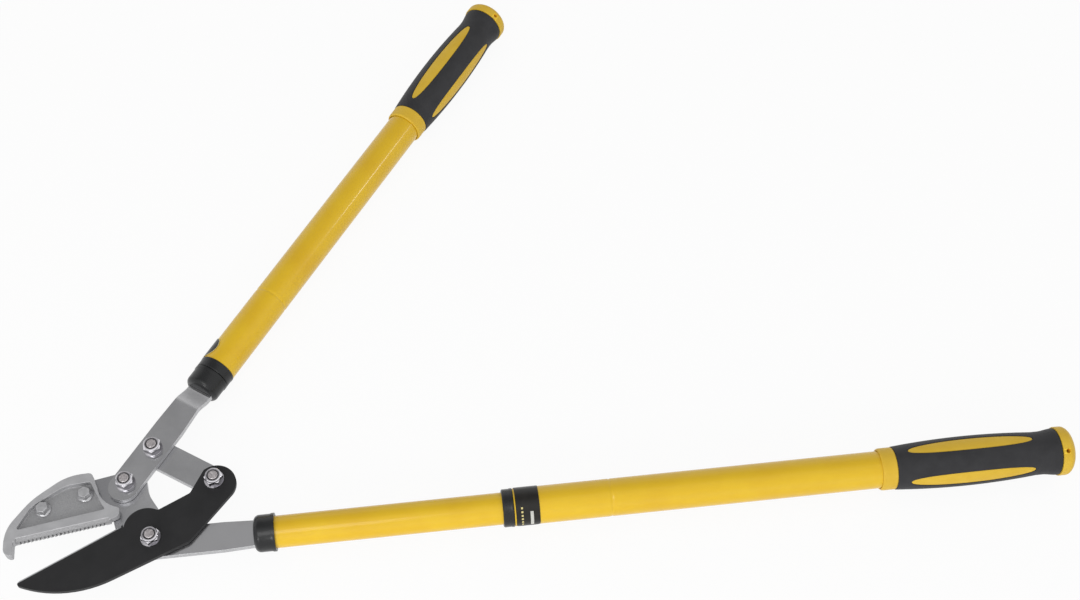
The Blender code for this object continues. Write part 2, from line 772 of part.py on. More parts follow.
def ferrule(tag, frame):
    """The black end piece that closes the inner tube round the bar."""
    start = -FERRULE_LENGTH
    bore = INNER_RADIUS + FIT_GAP
    round_off = 0.0045
    nose = []
    for i in range(5):
        angle = math.radians(22.5 * i)
        place = start + round_off * (1.0 - math.sin(angle))
        nose.append((place, FERRULE_RADIUS - round_off * (1.0 - math.cos(angle))))
    profile = [
        (start, 0.0),
        *reversed(nose),
        (-FERRULE_LIP_LENGTH - 0.0010, FERRULE_RADIUS),
        (-FERRULE_LIP_LENGTH, FERRULE_LIP_RADIUS),
        (0.0, FERRULE_LIP_RADIUS),
        (0.0, bore),
        (start + FERRULE_FACE, bore),
        (start + FERRULE_FACE, 0.0),
    ]
    made = turned("ferrule_" + tag, profile, MODEL, black_plastic(), closed=False)
    hang_on(made, frame)
    boolean(made, slot_cutter("ferrule_slot_" + tag, NECK_WIDTH + 2 * NECK_PLAY, start - 0.005, start + 0.010, frame))
    return made


def tang_plug(tag, frame):
    """The plug that fills the inner tube round the tang."""
    start = -FERRULE_LENGTH + FERRULE_FACE + FIT_GAP
    end = start + 0.0360
    radius = INNER_RADIUS - TUBE_WALL - FIT_GAP
    profile = [(start, 0.0), (start, radius), (end, radius), (end, 0.0)]
    made = turned("tang_plug_" + tag, profile, MODEL, black_plastic(), closed=False)
    hang_on(made, frame)
    boolean(made, slot_cutter("plug_slot_" + tag, TANG_WIDTH, start - 0.005, end + 0.005, frame))
    boolean(made, cross_hole("plug_hole_" + tag, PIN_PLACE, PIN_RADIUS + FIT_GAP, 0.020, 0.0, frame))
    return made


def tang_pin(tag, frame):
    """The pin through tube, plug and tang, hidden under the ferrule."""
    reach = INNER_RADIUS - 0.0001
    profile = [(reach, 0.0), (reach, PIN_RADIUS), (-reach, PIN_RADIUS), (-reach, 0.0)]
    made = upright("tang_pin_" + tag, profile, MODEL, zinc_steel())
    return hang_on(made, frame, (PIN_PLACE, 0.0, 0.0))


def inner_end():
    """Where the inner tube ends: just past the crimp when the handle is fully out."""
    return TRAVEL + CRIMP_PLACE + CRIMP_HALF_WIDTH + FIT_GAP


def inner_tube(tag, frame):
    start = -FERRULE_LENGTH + FERRULE_FACE + FIT_GAP
    end = inner_end()
    bore = INNER_RADIUS - TUBE_WALL
    profile = [(start, INNER_RADIUS), (end, INNER_RADIUS), (end, bore), (start, bore)]
    made = turned("inner_tube_" + tag, profile, MODEL, yellow_paint())
    hang_on(made, frame)
    boolean(made, cross_hole("tube_hole_" + tag, PIN_PLACE, PIN_RADIUS + FIT_GAP, 0.020, 0.0, frame))
    return made


def lock_stem(tag, frame):
    """The plug in the inner tube's end, with the spindle that the lock sleeve turns on."""
    end = inner_end()
    radius = INNER_RADIUS - TUBE_WALL - FIT_GAP
    tip = end + SLEEVE_LENGTH + 2 * FIT_GAP
    bore = LOCK_SCREW_RADIUS + FIT_GAP
    depth = tip - LOCK_SCREW_LENGTH - 0.001
    profile = [
        (end - STEM_LENGTH, 0.0),
        (end - STEM_LENGTH, radius),
        (end, radius),
        (end, SPINDLE_RADIUS),
        (tip, SPINDLE_RADIUS),
        (tip, bore),
        (depth, bore),
        (depth, 0.0),
    ]
    made = turned("lock_stem_" + tag, profile, MODEL, white_plastic(), closed=False)
    return hang_on(made, frame)


def lock_sleeve(tag, frame):
    """The split sleeve that a twist of the outer tube spreads against the tube's wall."""
    start = inner_end() + FIT_GAP
    end = start + SLEEVE_LENGTH
    radius = OUTER_RADIUS - TUBE_WALL - FIT_GAP
    groove = radius - 0.0012
    bore = SPINDLE_RADIUS + FIT_GAP
    third = SLEEVE_LENGTH / 3
    profile = [
        (start, radius - 0.0006),
        (start + 0.0006, radius),
        (start + third, radius),
        (start + third, groove),
        (end - third, groove),
        (end - third, radius),
        (end, radius),
        (end, bore),
        (start, bore),
    ]
    made = turned("lock_sleeve_" + tag, profile, MODEL, white_plastic())
    hang_on(made, frame)
    half = SLEEVE_SLIT / 2
    slit = [Vector((start - 0.001, -half)), Vector((end + 0.001, -half)), Vector((end + 0.001, half)),
            Vector((start - 0.001, half))]
    cut = plate("sleeve_slit_" + tag, slit, [], 0.0, 0.020, CUTTERS)
    boolean(made, hang_on(as_cutter(cut), frame))
    return made


def lock_screw(tag, frame):
    seat = inner_end() + SLEEVE_LENGTH + 3 * FIT_GAP
    profile = [
        (seat - LOCK_SCREW_LENGTH, 0.0),
        (seat - LOCK_SCREW_LENGTH, LOCK_SCREW_RADIUS),
        (seat, LOCK_SCREW_RADIUS),
        (seat, LOCK_HEAD_RADIUS),
        (seat + LOCK_HEAD_HEIGHT * 0.6, LOCK_HEAD_RADIUS),
        (seat + LOCK_HEAD_HEIGHT, LOCK_HEAD_RADIUS * 0.5),
        (seat + LOCK_HEAD_HEIGHT, 0.0),
    ]
    made = turned("lock_screw_" + tag, profile, MODEL, zinc_steel(), BOLT_STEPS, closed=False)
    return hang_on(made, frame)


def collar(tag, frame):
    """The black guide ring at the outer tube's mouth, with a spigot inside the tube."""
    bore = INNER_RADIUS + FIT_GAP
    spigot = OUTER_RADIUS - TUBE_WALL - FIT_GAP
    profile = [
        (0.0, COLLAR_RADIUS - 0.0008),
        (0.0008, COLLAR_RADIUS),
        (COLLAR_LENGTH - 0.0025, COLLAR_RADIUS),
        (COLLAR_LENGTH - 0.0018, COLLAR_LIP_RADIUS),
        (COLLAR_LENGTH, COLLAR_LIP_RADIUS),
        (COLLAR_LENGTH, spigot),
        (COLLAR_LENGTH + COLLAR_SPIGOT, spigot),
        (COLLAR_LENGTH + COLLAR_SPIGOT, bore),
        (0.0, bore),
    ]
    return hang_on(turned("collar_" + tag, profile, MODEL, black_plastic()), frame)


def cap_seat():
    return SLEEVE_END + FIT_GAP


def outer_tube(tag, frame):
    """The outer tube, crimped inwards to stop the lock sleeve at full length."""
    start = COLLAR_LENGTH + FIT_GAP
    end = cap_seat() - FIT_GAP
    bore = OUTER_RADIUS - TUBE_WALL
    low = CRIMP_PLACE - CRIMP_HALF_WIDTH
    high = CRIMP_PLACE + CRIMP_HALF_WIDTH
    profile = [
        (start, OUTER_RADIUS),
        (low, OUTER_RADIUS),
        (CRIMP_PLACE, OUTER_RADIUS - CRIMP_DEPTH),
        (high, OUTER_RADIUS),
        (end, OUTER_RADIUS),
        (end, bore),
        (high, bore),
        (CRIMP_PLACE, bore - CRIMP_DEPTH),
        (low, bore),
        (start, bore),
    ]
    return hang_on(turned("outer_tube_" + tag, profile, MODEL, yellow_paint()), frame)


def barrel(place):
    """The rubber sleeve's outer radius: a long barrel, a straight waist, then a flare."""
    peak = SLEEVE_START + PEAK_SHARE * (BARREL_END - SLEEVE_START)
    end, edge = (SLEEVE_START, SLEEVE_RADIUS) if place < peak else (BARREL_END, WAIST_RADIUS)
    share = (min(place, BARREL_END) - peak) / (end - peak)
    waist = BARREL_RADIUS - (BARREL_RADIUS - edge) * share ** 2
    if place <= WAIST:
        return waist
    rise = (place - WAIST) / (SLEEVE_END - WAIST)
    return waist + (FLARE_RADIUS - waist) * (3 * rise ** 2 - 2 * rise ** 3)


def barrel_stations(start, end, count):
    return [start + (end - start) * i / count for i in range(count + 1)]


def window_prisms(name, width, length, roll, frame):
    """Four upright elliptic prisms round the handle, as one cutter."""
    centre = (WINDOW_START + WINDOW_END) / 2
    ellipse = []
    for i in range(ELLIPSE_STEPS):
        angle = 2 * math.pi * i / ELLIPSE_STEPS
        ellipse.append(Vector((centre + length / 2 * math.cos(angle), width / 2 * math.sin(angle))))
    single = flat_mesh(ellipse, [], 0.0100, 0.0300)
    shape = bmesh.new()
    for quarter in range(4):
        single.transform(Matrix.Rotation(math.radians(90.0), 4, "X"))
        shape.from_mesh(single)
    mesh = bpy.data.meshes.new(name)
    shape.to_mesh(mesh)
    shape.free()
    bpy.data.meshes.remove(single)
    made = hang_on(as_cutter(link_object(mesh, name, CUTTERS, None)), frame)
    made.rotation_euler = (math.radians(roll), 0.0, 0.0)
    return made


def grip_core(tag, frame, roll):
    """The yellow grip body: front ring, a tube under the rubber and four raised window pads."""
    bore = OUTER_RADIUS + FIT_GAP
    start = RING_START
    end = cap_seat() - FIT_GAP
    profile = [
        (start, RING_RADIUS - 0.0010),
        (start + 0.0010, RING_RADIUS),
        (SLEEVE_START, RING_RADIUS),
        (SLEEVE_START, CORE_RADIUS),
        (end, CORE_RADIUS),
        (end, bore),
        (start, bore),
    ]
    made = turned("grip_core_" + tag, profile, MODEL, yellow_plastic())
    hang_on(made, frame)
    stations = barrel_stations(WINDOW_START - 0.002, WINDOW_END + 0.002, 6)
    inside = CORE_RADIUS - 0.0005
    skin = [(place, barrel(place) - WINDOW_SINK) for place in stations]
    pads = turned("window_pads_" + tag, skin + [(stations[-1], inside), (stations[0], inside)], CUTTERS)
    hang_on(as_cutter(pads), frame)
    length = WINDOW_END - WINDOW_START
    pins = window_prisms("pad_prisms_" + tag, WINDOW_WIDTH - 2 * FIT_GAP, length - 2 * FIT_GAP, roll, frame)
    boolean(pads, pins, "INTERSECT")
    boolean(made, pads, "UNION")
    return made


def grip_sleeve(tag, frame, roll):
    """The black rubber sleeve with four long windows."""
    start = SLEEVE_START + FIT_GAP
    bore = CORE_RADIUS + FIT_GAP
    stations = barrel_stations(start, BARREL_END, 7) + barrel_stations(WAIST, SLEEVE_END, 4)
    profile = [(place, barrel(place)) for place in stations] + [(SLEEVE_END, bore), (start, bore)]
    made = turned("grip_sleeve_" + tag, profile, MODEL, grip_rubber())
    hang_on(made, frame)
    length = WINDOW_END - WINDOW_START
    boolean(made, window_prisms("window_prisms_" + tag, WINDOW_WIDTH, length, roll, frame))
    return made


def end_cap(tag, frame, roll):
    """The domed plug in the outer tube's end, drilled across for a hanging cord."""
    start = cap_seat()
    radius = CAP_RADIUS
    spigot = OUTER_RADIUS - TUBE_WALL - FIT_GAP
    dome = []
    for i in range(1, 7):
        angle = math.radians(15.0 * i)
        place = start + CAP_RIM + (CAP_LENGTH - CAP_RIM) * math.sin(angle)
        dome.append((place, radius * math.cos(angle) ** 0.8 if i < 6 else 0.0))
    profile = [
        (start - CAP_SPIGOT, 0.0),
        (start - CAP_SPIGOT, spigot),
        (start, spigot),
        (start, radius - 0.0006),
        (start + 0.0006, radius),
        (start + CAP_RIM, radius),
        *dome,
    ]
    made = turned("end_cap_" + tag, profile, MODEL, yellow_plastic(), closed=False)
    hang_on(made, frame)
    place = start + HANG_HOLE_PLACE
    boolean(made, cross_hole("hang_hole_" + tag, place, HANG_HOLE_RADIUS, 0.030, roll, frame))
    return made


def band_label(frame):
    """The dark label wrapped most of the way round the outer tube, with rounded corners."""
    low = OUTER_RADIUS + FIT_GAP
    start = BAND_START
    profile = [(start, low + BAND_THICKNESS), (start + BAND_LENGTH, low + BAND_THICKNESS),
               (start + BAND_LENGTH, low), (start, low)]
    made = turned("band_label", profile, MODEL, sticker_film())
    hang_on(made, frame)
    gap = 360.0 - BAND_SPAN
    wedge = [Vector((0.0, 0.0))] + arc((0.0, 0.0), 0.030, -gap / 2, gap / 2, 30.0)
    cut = plate("band_gap", wedge, [], start - 0.002, start + BAND_LENGTH + 0.002, CUTTERS)
    hang_on(as_cutter(cut), frame)
    turn = Matrix.Rotation(math.radians(BAND_TURN), 4, "X") @ Matrix.Rotation(math.radians(90.0), 4, "Y")
    cut.matrix_local = turn
    boolean(made, cut)
    return made


def round_badge(frame, roll):
    """The round sticker wrapped on the outer tube next to the collar."""
    low = OUTER_RADIUS + FIT_GAP
    start = BADGE_PLACE - BADGE_RADIUS - 0.001
    end = BADGE_PLACE + BADGE_RADIUS + 0.001
    profile = [(start, low + BAND_THICKNESS), (end, low + BAND_THICKNESS), (end, low), (start, low)]
    made = turned("round_badge", profile, MODEL, sticker_film())
    hang_on(made, frame)
    disc = plate("badge_disc", circle((0.0, 0.0), BADGE_RADIUS, ROUND_STEPS), [], 0.0, 0.030, CUTTERS)
    hang_on(as_cutter(disc), frame, (BADGE_PLACE, 0.0, 0.0))
    disc.rotation_euler = (math.radians(roll), 0.0, 0.0)
    boolean(made, disc, "INTERSECT")
    return made


def handle(tag, seat_frame):
    """One telescopic handle on its seat: fixed inner part, lock and the outer part that slides."""
    pose = HANDLES[tag]
    ferrule(tag, seat_frame)
    tang_plug(tag, seat_frame)
    tang_pin(tag, seat_frame)
    inner_tube(tag, seat_frame)
    lock_stem(tag, seat_frame)
    lock_screw(tag, seat_frame)
    twist = empty("lock_twist_" + tag, seat_frame, (0.0, 0.0, 0.0))
    lock_sleeve(tag, twist)
    slide = empty("slide_" + tag, twist, (pose["extension"] + REST_GAP, 0.0, 0.0))
    collar(tag, slide)
    outer_tube(tag, slide)
    grip_core(tag, slide, pose["window_roll"])
    grip_sleeve(tag, slide, pose["window_roll"])
    end_cap(tag, slide, pose["hole_roll"])
    return slide


def seat_on_floor(root):
    """Moves the root so that the model's box stands on the origin by the middle of its base."""
    bpy.context.view_layer.update()
    depsgraph = bpy.context.evaluated_depsgraph_get()
    corners = []
    for item in MODEL.objects:
        if item.type != "MESH":
            continue
        mesh = item.evaluated_get(depsgraph).to_mesh()
        corners.extend(item.matrix_world @ vertex.co for vertex in mesh.vertices)
        item.evaluated_get(depsgraph).to_mesh_clear()
    low = [min(corner[axis] for corner in corners) for axis in range(3)]
    high = [max(corner[axis] for corner in corners) for axis in range(3)]
    root.location = (-(low[0] + high[0]) / 2, -(low[1] + high[1]) / 2, -low[2])
    bpy.context.view_layer.update()


def shade_round():
    for item in MODEL.objects:
        if item.type == "MESH":
            item.data.shade_smooth()
            item.data.set_sharp_from_angle(angle=math.radians(30.0))


clear_scene()
MODEL = new_collection(MODEL_NAME)
CUTTERS = new_collection(CUTTERS_NAME)

lopper = empty("lopper", None, (0.0, 0.0, 0.0))
main_pivot = empty("main_pivot", lopper, (MAIN_PIVOT.x, MAIN_PIVOT.y, 0.0))
lever_seat = empty("lever_seat", lopper, (LEVER_PIVOT.x, LEVER_PIVOT.y, 0.0))
lever_pivot = empty("lever_pivot", lopper, (LEVER_PIVOT.x, LEVER_PIVOT.y, 0.0), UPPER_ANGLE)
link_place = Matrix.Rotation(math.radians(-UPPER_ANGLE), 2) @ (LINK_PIVOT - LEVER_PIVOT)
link_pivot = empty("link_pivot", lever_pivot, (link_place.x, link_place.y, 0.0), -UPPER_ANGLE)
tail_pivot = empty("tail_pivot", main_pivot, (TAIL_PIVOT.x, TAIL_PIVOT.y, 0.0))

jaw_plate(lopper)
anvil(lopper)
for rivet_name, rivet_centre in RIVETS.items():
    rivet(rivet_name, rivet_centre, lopper)
pivot_set("main", BLADE_TOP, True, 10.0, lopper)
pivot_set("lever", LEVER_TOP, False, 25.0, lever_seat)

blade(main_pivot)
pivot_set("tail", BLADE_TOP, True, 40.0, tail_pivot)
link_bar(link_pivot)

lever_bar(lever_pivot, link_place)
pivot_set("link", LEVER_TOP, False, 5.0, empty("link_seat", lever_pivot, (link_place.x, link_place.y, 0.0)))

lower_seat = empty("lower_seat", lopper, (LOWER_SEAT_X, LOWER_AXIS_Y, 0.0))
upper_seat = empty("upper_seat", lever_pivot, (UPPER_SEAT_X, UPPER_AXIS_OFFSET, 0.0))
lower_slide = handle("a", lower_seat)
upper_slide = handle("b", upper_seat)
band_label(lower_slide)
round_badge(upper_slide, HANDLES["b"]["badge_roll"])

shade_round()
seat_on_floor(lopper)
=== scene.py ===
# %% [markdown]
# # A telescopic lopper, dressed over its CAD frame
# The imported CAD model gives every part's place and the way it moves. This lesson keeps that
# frame and builds each part that shows again, finer. All lengths are metres.

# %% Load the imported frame
import math

import bmesh
import bpy
from mathutils import Matrix, Vector


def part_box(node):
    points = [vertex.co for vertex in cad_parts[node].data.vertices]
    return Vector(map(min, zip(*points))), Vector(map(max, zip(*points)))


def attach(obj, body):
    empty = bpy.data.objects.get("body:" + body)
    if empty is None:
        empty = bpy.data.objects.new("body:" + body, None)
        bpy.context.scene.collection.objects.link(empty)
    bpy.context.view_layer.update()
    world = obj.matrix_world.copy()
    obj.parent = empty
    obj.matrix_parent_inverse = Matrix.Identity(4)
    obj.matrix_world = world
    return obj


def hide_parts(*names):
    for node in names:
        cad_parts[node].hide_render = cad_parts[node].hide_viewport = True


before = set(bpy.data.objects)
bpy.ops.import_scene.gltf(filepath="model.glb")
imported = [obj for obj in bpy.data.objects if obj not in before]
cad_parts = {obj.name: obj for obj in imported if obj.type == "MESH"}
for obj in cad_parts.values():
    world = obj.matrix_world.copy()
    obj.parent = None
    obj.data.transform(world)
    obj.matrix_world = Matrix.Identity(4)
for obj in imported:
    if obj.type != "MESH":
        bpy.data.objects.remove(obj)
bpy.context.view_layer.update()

# %% [markdown]
# The head was drawn round its main pivot, and each handle along its own axis. The pivot is
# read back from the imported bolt, so that the new pieces follow the frame. Each handle has a
# seat, where its inner tube starts, and the outer tube starts further along.
# Three lines slant across the head: the upper handle, the anvil's bite and the blade's edge.

# %% Drawing frames of the head and the handles
HANDLE_ANGLE, BITE_ANGLE, EDGE_ANGLE = 54.37, 7.97, 26.1
BEND_START, BEND_END = 0.0812, 0.0978


def shift(x, y, z=0):
    return Matrix.Translation((x, y, z))


def rotation(degrees, axis="Z"):
    return Matrix.Rotation(math.radians(degrees), 4, axis)


def in_scene(name, data):
    """A new object in the scene."""
    made = bpy.data.objects.new(name, data)
    bpy.context.scene.collection.objects.link(made)
    return made


def mesh_of(name, bm):
    """A mesh from a finished bmesh."""
    mesh = bpy.data.meshes.new(name)
    bm.to_mesh(mesh)
    bm.free()
    return mesh


bolt_low, bolt_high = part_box("main_bolt")
plate_low, plate_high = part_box("jaw_plate")
HEAD = shift(
    (bolt_low.x + bolt_high.x) / 2, (bolt_low.y + bolt_high.y) / 2,
    (plate_low.z + plate_high.z) / 2,
)
LEVER_PIVOT = Vector((-0.0202, 0.0498))
LINK_PIVOT = Vector((0.0009, 0.0784))
TAIL_PIVOT = Vector((0.0495, 0.0449))
LEVER = HEAD @ shift(*LEVER_PIVOT) @ rotation(HANDLE_ANGLE)
SEAT = {"a": HEAD @ shift(0.096, -0.0029), "b": LEVER @ shift(0.1163, 0.0006)}
OUTER = {"a": SEAT["a"] @ shift(0.1789, 0), "b": SEAT["b"] @ shift(0.0004, 0)}
print("main pivot at", [round(v, 4) for v in HEAD.translation])

# %% [markdown]
# A photograph taken with a lens of about 53 mm on a 36 mm sensor looks down on the tool at an
# angle of 57 degrees. The camera is turned a little about its own axis, as the tool lies.

# %% Camera
FOCAL_PIXELS, PICTURE_WIDTH, SENSOR, DISTANCE = 1596.66, 1080, 36, 1.37742
ELEVATION, HEADING, ROLL = 56.835, 7.9505, 1.315
aim = HEAD @ shift(0.328389, 0.1902505)
turn_to = rotation(-HEADING) @ rotation(90 - ELEVATION, "X") @ rotation(ROLL)
camera = in_scene("camera", bpy.data.cameras.new("camera"))
camera.matrix_world = aim @ turn_to @ shift(0, 0, DISTANCE)
camera.data.sensor_width = SENSOR
camera.data.lens = FOCAL_PIXELS * SENSOR / PICTURE_WIDTH
camera.data.clip_start = 0.01
bpy.context.scene.camera = camera
print("camera stands", round(camera.matrix_world.translation.z, 3), "m above the floor")

# %% [markdown]
# The tool lies on a white sweep in soft light. The floor and most of the world look white to the
# camera and in reflections. Only the sky high behind the tool is grey, and it gives the flat
# steel its mid grey. They light the tool at a plain level, below the white that is seen. A part
# of the floor's own shading stays in what the camera sees, so that the tool keeps its shadow.

# %% Helpers for nodes and materials
def add(tree, kind, inputs=None, **settings):
    """Adds a shader node, sets it up and links or fills its inputs."""
    made = tree.nodes.new("ShaderNode" + kind)
    for name, value in settings.items():
        setattr(made, name, value)
    for name, value in (inputs or {}).items():
        if isinstance(value, bpy.types.NodeSocket):
            tree.links.new(value, made.inputs[name])
        else:
            made.inputs[name].default_value = value
    return made


def maths(tree, operation, first, second):
    return add(tree, "Math", {0: first, 1: second}, operation=operation).outputs[0]


def remap(tree, value, start, end, low=0, high=1):
    """Takes a value that runs from start to end over to low to high."""
    inputs = {"Value": value, "From Min": start, "From Max": end, "To Min": low, "To Max": high}
    return add(tree, "MapRange", inputs).outputs[0]


LOOKS = {}


def finish(name, **sockets):
    """Starts a finish: its node tree, its shader and the Object coordinates it reads."""
    LOOKS[name] = bpy.data.materials.new(name)
    LOOKS[name].use_nodes = True
    tree = LOOKS[name].node_tree
    shader = tree.nodes["Principled BSDF"]
    for socket, value in sockets.items():
        shader.inputs[socket.replace("_", " ")].default_value = value
    return tree, shader, add(tree, "TexCoord").outputs["Object"]


def seen_white(tree):
    """1 for camera, glossy and transmission rays, and 0 for the light that falls on things."""
    path = add(tree, "LightPath").outputs
    seen = maths(tree, "MAXIMUM", path["Is Camera Ray"], path["Is Glossy Ray"])
    return maths(tree, "MAXIMUM", seen, path["Is Transmission Ray"])


# %% World
world = bpy.data.worlds.new("studio")
bpy.context.scene.world = world
world.use_nodes = True
tree = world.node_tree
sky = tree.nodes["Background"]
direction = add(tree, "SeparateXYZ", {0: add(tree, "TexCoord").outputs["Generated"]}).outputs
above = remap(tree, direction["Z"], 0.45, 0.75)
behind = remap(tree, direction["Y"], 0, 0.25)
shown = remap(tree, maths(tree, "MULTIPLY", above, behind), 0, 1, 1.05, 0.5)
strength = remap(tree, seen_white(tree), 0, 1, 0.6, shown)
tree.links.new(strength, sky.inputs["Strength"])
sky.inputs["Color"].default_value = (1, 1, 1, 1)

# %% Floor
FLOOR_SIZE, FLOOR_GREY, WHITE_SHARE = 12, 0.82, 0.93
bm = bmesh.new()
bmesh.ops.create_grid(bm, x_segments=1, y_segments=1, size=FLOOR_SIZE)
floor = in_scene("floor", mesh_of("floor", bm))
grey = (FLOOR_GREY, FLOOR_GREY, FLOOR_GREY, 1)
tree, shader, _ = finish("pale_floor", Base_Color=grey, Roughness=0.9)
white = add(tree, "Emission", {"Strength": 1}).outputs[0]
share = maths(tree, "MULTIPLY", seen_white(tree), WHITE_SHARE)
mix = add(tree, "MixShader", {"Fac": share, 1: shader.outputs[0], 2: white}).outputs[0]
tree.links.new(mix, tree.nodes["Material Output"].inputs["Surface"])
floor.data.materials.append(LOOKS["pale_floor"])

# %% [markdown]
# A broad box in front fills the shadows and is kept out of reflections. A smaller box above and
# a key lamp at the left put the highlights on the nuts and the blade's edge, and a thin strip far
# to the right draws the long bright line on the upper tube.

# %% Lamps
def lamp(name, place, aim, size, watts, mirrored=True):
    made = in_scene(name, bpy.data.lights.new(name, "AREA"))
    made.data.shape = "RECTANGLE"
    made.data.size, made.data.size_y = size
    made.data.energy = watts
    made.location = place
    made.visible_glossy = mirrored
    made.rotation_euler = (Vector(aim) - Vector(place)).to_track_quat("-Z", "Y").to_euler()


middle = (0, 0, 0.02)
lamp("front_box", (-0.35, -1.6, 0.42), middle, (3.2, 0.8), 11.5, mirrored=False)
lamp("top_box", (-0.52, -0.95, 1.35), (-0.3, -0.1, 0), (0.76, 0.6), 4)
lamp("key", (-0.8, -1.45, 0.7), (-0.3, -0.2, 0), (0.3, 0.3), 3.2)
lamp("strip", (1.62, 0.03, 1.015), middle, (0.21, 0.025), 1.5)

# %% [markdown]
# ## Finishes
# Each finish is a procedural material on Object coordinates. It starts from the real part's
# colour, and a few noises at the part's own scale change the colour, the roughness and the
# relief a little, because no moulded, coated or plated part is even.

# %% Helpers for finishes
def linear(rgb):
    """A colour as seen on a screen, 0 to 255, as the linear values that a shader takes."""
    parts = [v / 255 for v in rgb]
    return (*[v / 12.92 if v <= 0.04045 else ((v + 0.055) / 1.055) ** 2.4 for v in parts], 1)


def speckle(tree, place, scale, detail=4, roughness=0.55):
    """Noise of this many spots to the metre. Most of it lies between 0.3 and 0.7."""
    inputs = {"Vector": place, "Scale": scale, "Detail": detail, "Roughness": roughness}
    return add(tree, "TexNoise", inputs).outputs["Fac"]


def colour(tree, shader, share, dark, light, low=0.3, high=0.7):
    """Colours the surface from dark to light."""
    blend = add(tree, "ValToRGB", {"Fac": share})
    for stop, position, rgb in zip(blend.color_ramp.elements, (low, high), (dark, light)):
        stop.position = position
        stop.color = linear(rgb)
    tree.links.new(blend.outputs["Color"], shader.inputs["Base Color"])


def gloss(tree, shader, share, low, high):
    """Lets the roughness run from low to high."""
    tree.links.new(remap(tree, share, 0.3, 0.7, low, high), shader.inputs["Roughness"])


def relief(tree, shader, height, depth, strength):
    """Raises and sinks the surface by up to this depth."""
    bump = add(tree, "Bump", {"Height": height, "Distance": depth, "Strength": strength})
    tree.links.new(bump.outputs[0], shader.inputs["Normal"])


# %% [markdown]
# Most finishes need nothing but three noises, so one helper takes them all: one noise blends
# two colours, one changes the roughness, and one makes the relief. Each group of numbers ends
# with its noise: the spots to the metre, and where it matters the detail and its roughness. A
# group without one takes the noise before it. Scratches are noise that is turned and stretched.

# %% A finish from three noises
def noisy(name, colours, sheen=None, bumps=None, maps=(), **sockets):
    """A finish from (dark, light, noise), (low, high, noise) and (depth, strength, noise)."""
    tree, shader, place = finish(name, **sockets)
    for inputs in maps:
        place = add(tree, "Mapping", {"Vector": place, **inputs}).outputs[0]
    for effect, values in ((colour, colours), (gloss, sheen), (relief, bumps)):
        if values:
            noise = values[2:] or noise
            effect(tree, shader, speckle(tree, place, *noise), *values[:2])
    return tree, shader, place


# %% [markdown]
# The bars are rolled steel, tumbled to a satin finish that still mirrors the nuts softly. Cut
# sides are rougher and paler. The rounded edges of the upper bar are painted darker, as painted
# shade for the dark reflection along a curved edge. The back plate is painted darker towards its
# front end, as painted shade. Where the upper bar is bent it is matt and painted paler, as
# painted light for the brighter sheen of the sloped bend, so that finish changes along the bar.

# %% Satin steel, its cut sides and its bend
noisy(
    "satin_steel", ((178, 178, 180), (190, 190, 192), 45), (0.17, 0.23), (0.00002, 0.35, 2600, 2),
    Metallic=1,
)
noisy(
    "cut_steel", ((176, 176, 178), (206, 206, 208), 1800, 3), (0.38, 0.55), (0.00004, 0.5),
    maps=[{"Scale": (1, 1, 0.12)}], Metallic=0.85,
)
# Painted shade: a darker steel for the upper bar's rounded edges.
noisy(
    "edge_steel", ((104, 104, 106), (128, 128, 130), 700), (0.2, 0.32), (0.00002, 0.3), Metallic=1
)

tree, shader, place = noisy(
    "plate_steel", None, (0.2, 0.26, 45), (0.00002, 0.35, 2600, 2), Metallic=1
)
# Painted shade: the back plate is darker towards its front end.
front_shade = remap(tree, add(tree, "SeparateXYZ", {0: place}).outputs["X"], -0.352, -0.312)
shade = maths(tree, "MULTIPLY", front_shade, speckle(tree, place, 45))
colour(tree, shader, shade, (164, 164, 167), (192, 192, 194), 0, 0.45)

# Painted light: a paler, matt copy of the steel stands for the brighter sheen of the bend.
tree, shader, place = noisy(
    "bent_steel", ((182, 182, 184), (194, 194, 196), 1400), bumps=(0.00003, 0.4)
)
inputs = {"Vector": place, "Rotation": (0, 0, math.radians(-HANDLE_ANGLE))}
along_bar = add(tree, "Mapping", inputs).outputs[0]
along_bar = add(tree, "SeparateXYZ", {0: along_bar}).outputs["X"]
bend = (LEVER.to_3x3() @ Vector((1, 0, 0))).dot(LEVER.translation) + BEND_START
bent = remap(tree, along_bar, bend, bend + 0.006)
tree.links.new(remap(tree, bent, 0, 1, 1, 0.25), shader.inputs["Metallic"])
tree.links.new(remap(tree, bent, 0, 1, 0.2, 0.57), shader.inputs["Roughness"])

# %% [markdown]
# Nuts, bolts and washers are zinc plated: bright, with a faint warm and cold play of colour
# between the crystals of the plating. The flats of a nut are painted a darker zinc, as a painted
# reflection of the darker room. The rivets are plain steel, and the sawn ends of the bolts are
# rough.

# %% Zinc plating
tree, shader, place = noisy(
    "zinc_steel", ((206, 204, 208), (228, 226, 231), 300), (0.08, 0.18), Metallic=1
)
crystals = add(tree, "TexVoronoi", {"Vector": place, "Scale": 900}).outputs["Distance"]
relief(tree, shader, crystals, 0.00002, 0.3)

# Painted reflection: a darker zinc colour for the flats of the nuts.
noisy(
    "zinc_flats", ((122, 121, 125), (150, 149, 153), 400), (0.1, 0.22), (0.00002, 0.3, 1200),
    Metallic=1,
)
noisy(
    "rivet_steel", ((176, 176, 178), (194, 194, 196), 500), (0.28, 0.38), (0.00003, 0.3, 1800),
    Metallic=0.75,
)
noisy(
    "bolt_end", ((150, 145, 146), (206, 201, 202), 700), (0.35, 0.5), (0.00006, 0.6, 1500),
    Metallic=0.9,
)

# %% [markdown]
# The anvil is die cast and left as it comes from the mould: pale grey, a little grainy and
# clouded where the metal cooled. Its sunk pocket is rougher and painted darker, as painted shade
# in the recess, and the tooth roots and the pocket's near wall are painted dark, as painted
# shade.

